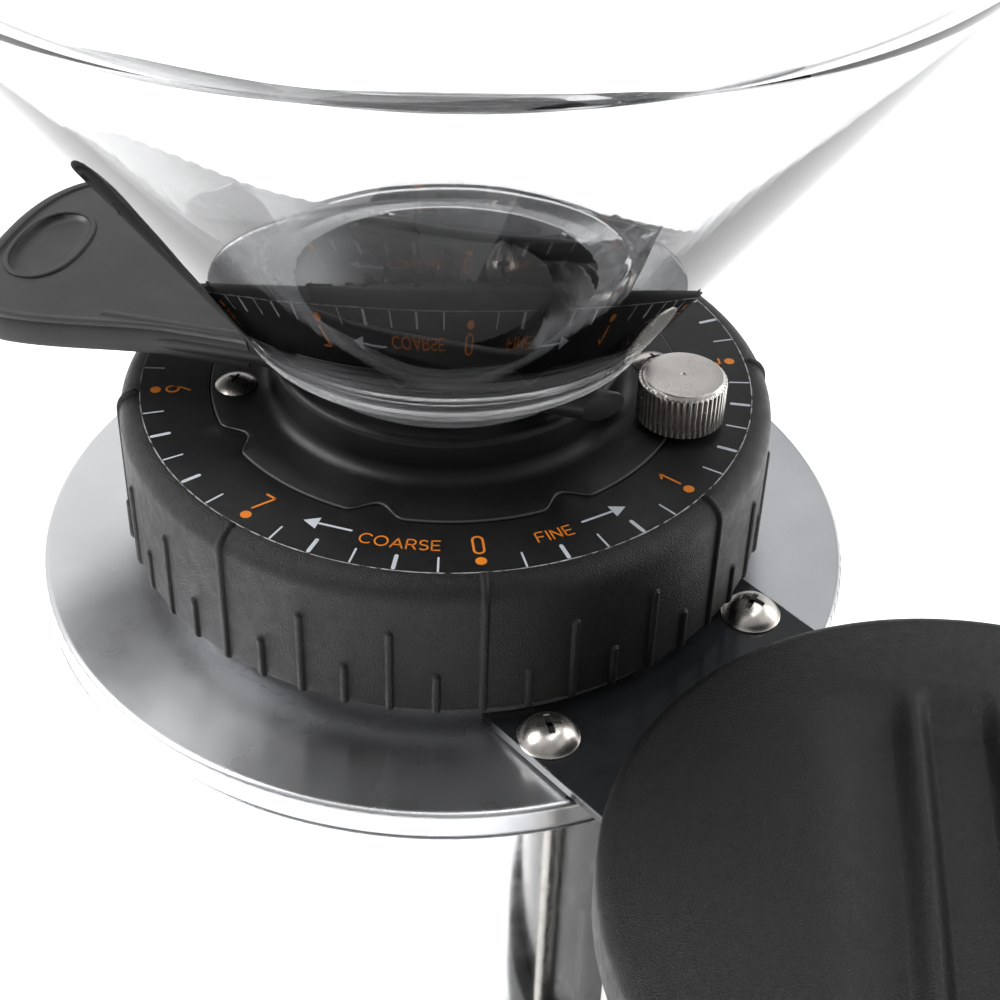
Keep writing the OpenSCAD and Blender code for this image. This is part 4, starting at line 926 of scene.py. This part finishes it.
def build_shutter():
    lo, hi = box_mm("shutter_slide")
    z0, z1 = lo[2], hi[2]
    rod_r, rod_n, back = 2.9, 20.5, 34.0
    z1 = min(z1, FOOT_Z - 0.1)
    root, flare, shoulder = 31.0, 44, 76
    outline = []
    for k in range(17):
        u = root + (shoulder - root) * k / 16
        outline.append((u, -(23.1 + 3.9 * smoothstep((u - flare) / (shoulder - flare)))))
    for k in range(1, 48):
        t = -pi / 2 + pi * k / 48
        outline.append((shoulder + 14 * abs(cos(t)) ** (2 / 2.3),
                        math.copysign(27 * abs(sin(t)) ** (2 / 2.3), t)))
    outline += [(u, -n) for u, n in reversed(outline[:17])]
    n_end = -outline[0][1]
    outline += [(root, n_end * (1 - k / 6)) for k in range(1, 12)]
    profile = [(0.9, z0), (0.25, z0 + 0.25), (0, z0 + 0.9), (0, z1 - 1.3), (0.3, z1 - 0.45),
               (0.95, z1 - 0.04), (1.6, z1), (2.2, z1 - 0.12), (2.55, z1 - 0.45), (2.9, z1 - 0.62),
               (3.6, z1 - 0.66)]
    paddle = loft([[along(u, n, z) for u, n in inset(outline, d)] for d, z in profile])

    def oval(cu, a, b, n=56):
        out = []
        for k in range(n):
            t = 2 * pi * k / n
            out.append((cu + a * math.copysign(abs(cos(t)) ** 0.88, cos(t)),
                        b * math.copysign(abs(sin(t)) ** 0.88, sin(t))))
        return out
    cut_u, cut_a, cut_b = 79.6, 6.4, 12.0
    bowl = ((2.6, z1 - 1.75), (1.5, z1 - 1.6), (0.6, z1 - 1.2), (0, z1 - 0.6), (-0.4, z1 + 0.6))
    cutter = [[along(u, n, z) for u, n in oval(cut_u, cut_a - d, cut_b - d)] for d, z in bowl]
    me = boolean("shutter_paddle", [paddle], [[loft(cutter)]])
    dress("shutter_paddle", me, M["shutter"], "shutter", ("shutter_slide",), 32)

    # raised rim round the thumb rest
    ring_points, ring_faces = [], []
    path = oval(cut_u, cut_a + 0.35, cut_b + 0.35, 72)
    m = 10
    for i, (u, n) in enumerate(path):
        a, b = path[i - 1], path[(i + 1) % len(path)]
        tu, tn = b[0] - a[0], b[1] - a[1]
        s = hypot(tu, tn)
        for k in range(m):
            q = 2 * pi * k / m
            off = 0.55 * cos(q)
            ring_points.append(along(u + tn / s * off, n - tu / s * off, z1 - 0.62 + 0.42 * sin(q)))
    count = len(path)
    for i in range(count):
        for k in range(m):
            j, q = (i + 1) % count, (k + 1) % m
            ring_faces.append((i * m + k, j * m + k, j * m + q, i * m + q))
    put("thumb_rest_rim", [(ring_points, ring_faces)], M["shutter"], "shutter")

    # guide rods, their far ends cut slanting
    shells = []
    zc = z0 + rod_r
    for s in (-1, 1):
        circle = [(s * rod_n + rod_r * cos(q), zc + rod_r * sin(q)) for q in turn(40)]
        slanted = [(-back + (n - s * rod_n) * s, n, z) for n, z in circle]
        face = [(u, s * rod_n + (n - s * rod_n) * 0.88, zc + (z - zc) * 0.88) for u, n, z in slanted]
        shoulder_ring = [(u + 0.5, n, z) for u, n, z in slanted]
        inner_end = [(60.0, n, z) for n, z in circle]
        shells.append(loft([[along(*p) for p in ring] for ring in (face, shoulder_ring, inner_end)]))
    blade = [(rod_n * cos(a), rod_n * sin(a)) for a in [pi / 2 + pi * k / 30 for k in range(31)]]
    blade += [(50.0, -rod_n), (50.0, rod_n)]
    zb = z0 + 1.0
    shells.append(loft([[along(u, n, z) for u, n in blade] for z in (zb, zb + 3.8)]))
    put("shutter_rods", shells, M["shutter"], "shutter", (), 32)


# ------------------------------------------------------------------ doser lid

GRIP_SHIFT = -4.6
TROUGH_HALF = 7.4


def build_doser_lid():
    lo, hi = box_mm("doser_lid")
    r = (hi[0] - lo[0]) / 2
    skirt_z = lo[2]
    top = hi[2] - 2.6
    under = box_mm("bridge_plate")[1][2] + 0.4
    edge_r = 3.2
    dome_h = 4.4
    shoulder = top - dome_h
    flat_r = r - edge_r
    grip = radians(43.4)

    def height(x, y):
        """The dome, with a trough across it and a shallow scoop on each side of the trough."""
        q = min(1.0, hypot(x, y) / flat_r)
        z = shoulder + dome_h * (1 - q ** 2.2)
        u, v = x * cos(grip) + y * sin(grip), -x * sin(grip) + y * cos(grip)
        v = abs(v + GRIP_SHIFT)
        reach = smoothstep((41.5 - abs(u)) / 11)
        if v < TROUGH_HALF:
            dip = 3.6 * smoothstep((TROUGH_HALF - 0.25 - v) / 3.2)
        else:
            t = (v - TROUGH_HALF - 0.25) / 17.5
            dip = 3.0 * smoothstep(t / 0.22) * (1 - smoothstep((t - 0.12) / 0.88)) if t > 0 else 0
        return z - dip * reach

    spots = [pi * k / 96 - pi / 2 for k in range(97)]
    for side in (-TROUGH_HALF, TROUGH_HALF):
        spots += [math.asin((side - GRIP_SHIFT + 0.25 * k) / flat_r) for k in range(-16, 17)]
    spots = sorted(set(round(s, 5) for s in spots))
    rows = len(spots)
    cols = 130
    points, faces = [], []
    for phi in spots:
        y = flat_r * sin(phi)
        span = flat_r * cos(phi)
        for i in range(cols + 1):
            x = span * sin(pi * (i / cols - 0.5))
            gx, gy = x * cos(grip) - y * sin(grip), x * sin(grip) + y * cos(grip)
            points.append((DX + gx, DY + gy, height(gx, gy)))
    for j in range(rows - 1):
        for i in range(cols):
            a = j * (cols + 1) + i
            faces.append((a, a + 1, a + cols + 2, a + cols + 1))
    # the side and the hollow underside hang on the rim of that cap
    loop = [(j, cols) for j in range(rows)] + [(j, 0) for j in range(rows - 2, 0, -1)]
    ring_ids = [j * (cols + 1) + i for j, i in loop]
    profile = [(flat_r + edge_r * sin(t), shoulder - edge_r + edge_r * cos(t)) for t in quarter(8)[1:]]
    profile += [(r, under + 0.6), (r - 0.3, under + 0.15), (r - 0.8, under), (r - 2.6, under),
                (r - 2.6, shoulder - 4.6), (r - 6.5, shoulder - 3.6)]
    angles = [math.atan2(points[i][1] - DY, points[i][0] - DX) for i in ring_ids]
    for pr, pz in profile:
        start = len(points)
        for a in angles:
            points.append((DX + pr * cos(a), DY + pr * sin(a), pz))
        new = list(range(start, start + len(angles)))
        for i in range(len(new)):
            k = (i + 1) % len(new)
            faces.append((ring_ids[i], ring_ids[k], new[k], new[i]))
        ring_ids = new
    faces.append(tuple(ring_ids))
    inner, outer, root = 49.5, 52.4, shoulder - 3.8
    spigot = polar([(inner, skirt_z), (outer, skirt_z), (outer, root), (inner, root)],
                   turn(128), DX, DY)
    put("doser_cover", [(points, faces), spigot], M["lid"], "doser_lid",
        ("doser_lid",), 50)


# ------------------------------------------------------------------ hopper lid


def build_hopper_lid():
    lo, hi = box_mm("hopper_lid")
    r = (hi[0] - lo[0]) / 2
    deck = hi[2] - 11.0
    skirt = lo[2]
    outer = rounded([(0, deck - 3, 0), (r - 3, deck - 3, 1), (r - 3, skirt, 0.6), (r, skirt, 0.8),
                     (r, deck, 2.0), (r - 14, deck, 2), (r - 16, deck - 0.8, 1),
                     (17.5, deck - 0.8, 1.4), (15.4, deck + 0.4, 1.2), (12.4, deck + 3.4, 3),
                     (14.8, deck + 8.2, 2.4), (12.6, hi[2] - 0.1, 2.2), (0, hi[2], 0)],
                    closed=False)
    put("hopper_cover", [polar(outer, turn(192), AX, AY)], M["black_plastic"], "hopper_lid",
        ("hopper_lid",), 40)


build_collar()
build_label()
build_print()
build_screws()
build_bridge_edge()
build_thumb_screw()
build_hopper()
build_shutter()
build_doser_lid()
build_hopper_lid()

# ------------------------------------------------------------------ floor, light and camera


def build_stage():
    me = bpy.data.meshes.new("floor")
    me.from_pydata([(-6, -6, 0), (6, -6, 0), (6, 6, 0), (-6, 6, 0)], [], [(0, 1, 2, 3)])
    p = Paint("floor_white", (0.93, 0.93, 0.93), 0.6, Emission_Strength=0.35)
    p.bsdf.inputs["Emission Color"].default_value = (1, 1, 1, 1)
    p.vary_rough(p.noise(6, 3), 0.05)
    me.materials.append(p.mat)
    ob = bpy.data.objects.new("floor", me)
    bpy.context.scene.collection.objects.link(ob)


def area_light(name, place, target, size, power):
    data = bpy.data.lights.new(name, "AREA")
    data.shape = "RECTANGLE"
    data.size, data.size_y = size
    data.energy = power
    ob = bpy.data.objects.new(name, data)
    ob.location = place
    direction = Vector(target) - Vector(place)
    ob.rotation_euler = direction.to_track_quat("-Z", "Y").to_euler()
    bpy.context.scene.collection.objects.link(ob)


def build_light():
    world = bpy.data.worlds.new("studio")
    bpy.context.scene.world = world
    world.use_nodes = True
    nt = world.node_tree
    bg = nt.nodes["Background"]
    bg.inputs["Strength"].default_value = 1.0
    coords = nt.nodes.new("ShaderNodeTexCoord")
    noise = nt.nodes.new("ShaderNodeTexNoise")
    noise.inputs["Scale"].default_value = 1.7
    noise.inputs["Detail"].default_value = 1.5
    nt.links.new(coords.outputs["Generated"], noise.inputs["Vector"])
    ramp = nt.nodes.new("ShaderNodeValToRGB")
    ramp.color_ramp.elements[0].position = 0.36
    ramp.color_ramp.elements[0].color = (0.42, 0.43, 0.45, 1)
    ramp.color_ramp.elements[1].position = 0.56
    ramp.color_ramp.elements[1].color = (1.0, 1.0, 1.0, 1)
    nt.links.new(noise.outputs["Fac"], ramp.inputs["Fac"])
    side = nt.nodes.new("ShaderNodeVectorMath")
    side.operation = "DOT_PRODUCT"
    side.inputs[1].default_value = (0.62, 0.70, 0.35)
    nt.links.new(coords.outputs["Generated"], side.inputs[0])
    fade = nt.nodes.new("ShaderNodeMapRange")
    fade.inputs["From Min"].default_value = -0.9
    fade.inputs["From Max"].default_value = 0.45
    fade.inputs["To Min"].default_value = 0.22
    fade.inputs["To Max"].default_value = 1.0
    nt.links.new(side.outputs["Value"], fade.inputs["Value"])
    scale = nt.nodes.new("ShaderNodeVectorMath")
    scale.operation = "SCALE"
    nt.links.new(ramp.outputs["Color"], scale.inputs[0])
    nt.links.new(fade.outputs["Result"], scale.inputs["Scale"])
    nt.links.new(scale.outputs["Vector"], bg.inputs["Color"])
    axis = (AX * MM, AY * MM, 0.28)
    area_light("key_window", (-1.0, 0.9, 1.5), axis, (1.1, 0.9), 26)
    area_light("top_soft", (0.2, 0.1, 1.9), axis, (1.4, 1.4), 22)
    area_light("fill_right", (1.5, -0.6, 0.9), axis, (0.8, 1.2), 9)


def build_camera():
    data = bpy.data.cameras.new("camera")
    data.lens = 66.45
    data.sensor_width = 36
    data.clip_start = 0.01
    ob = bpy.data.objects.new("camera", data)
    heading, pitch, roll = radians(41.371), radians(-38.398), radians(1.933)
    fwd = Vector((sin(heading) * cos(pitch), cos(heading) * cos(pitch), sin(pitch)))
    right0 = Vector((cos(heading), -sin(heading), 0))
    up0 = right0.cross(fwd)
    right = right0 * cos(roll) + up0 * sin(roll)
    up = up0 * cos(roll) - right0 * sin(roll)
    pose = Matrix((right, up, -fwd)).transposed().to_4x4()
    # the solved place, right of, in front of and above the middle of the dial
    a = radians(DIAL_ZERO)
    dx, dy, dz = -31.674, -289.665, 200.775
    pose.translation = Vector((AX + dx * cos(a) - dy * sin(a), AY + dx * sin(a) + dy * cos(a),
                               LABEL_Z + dz)) * MM
    ob.matrix_world = pose
    bpy.context.scene.collection.objects.link(ob)
    bpy.context.scene.camera = ob


build_stage()
build_light()
build_camera()
bpy.context.scene.view_settings.view_transform = "Standard"
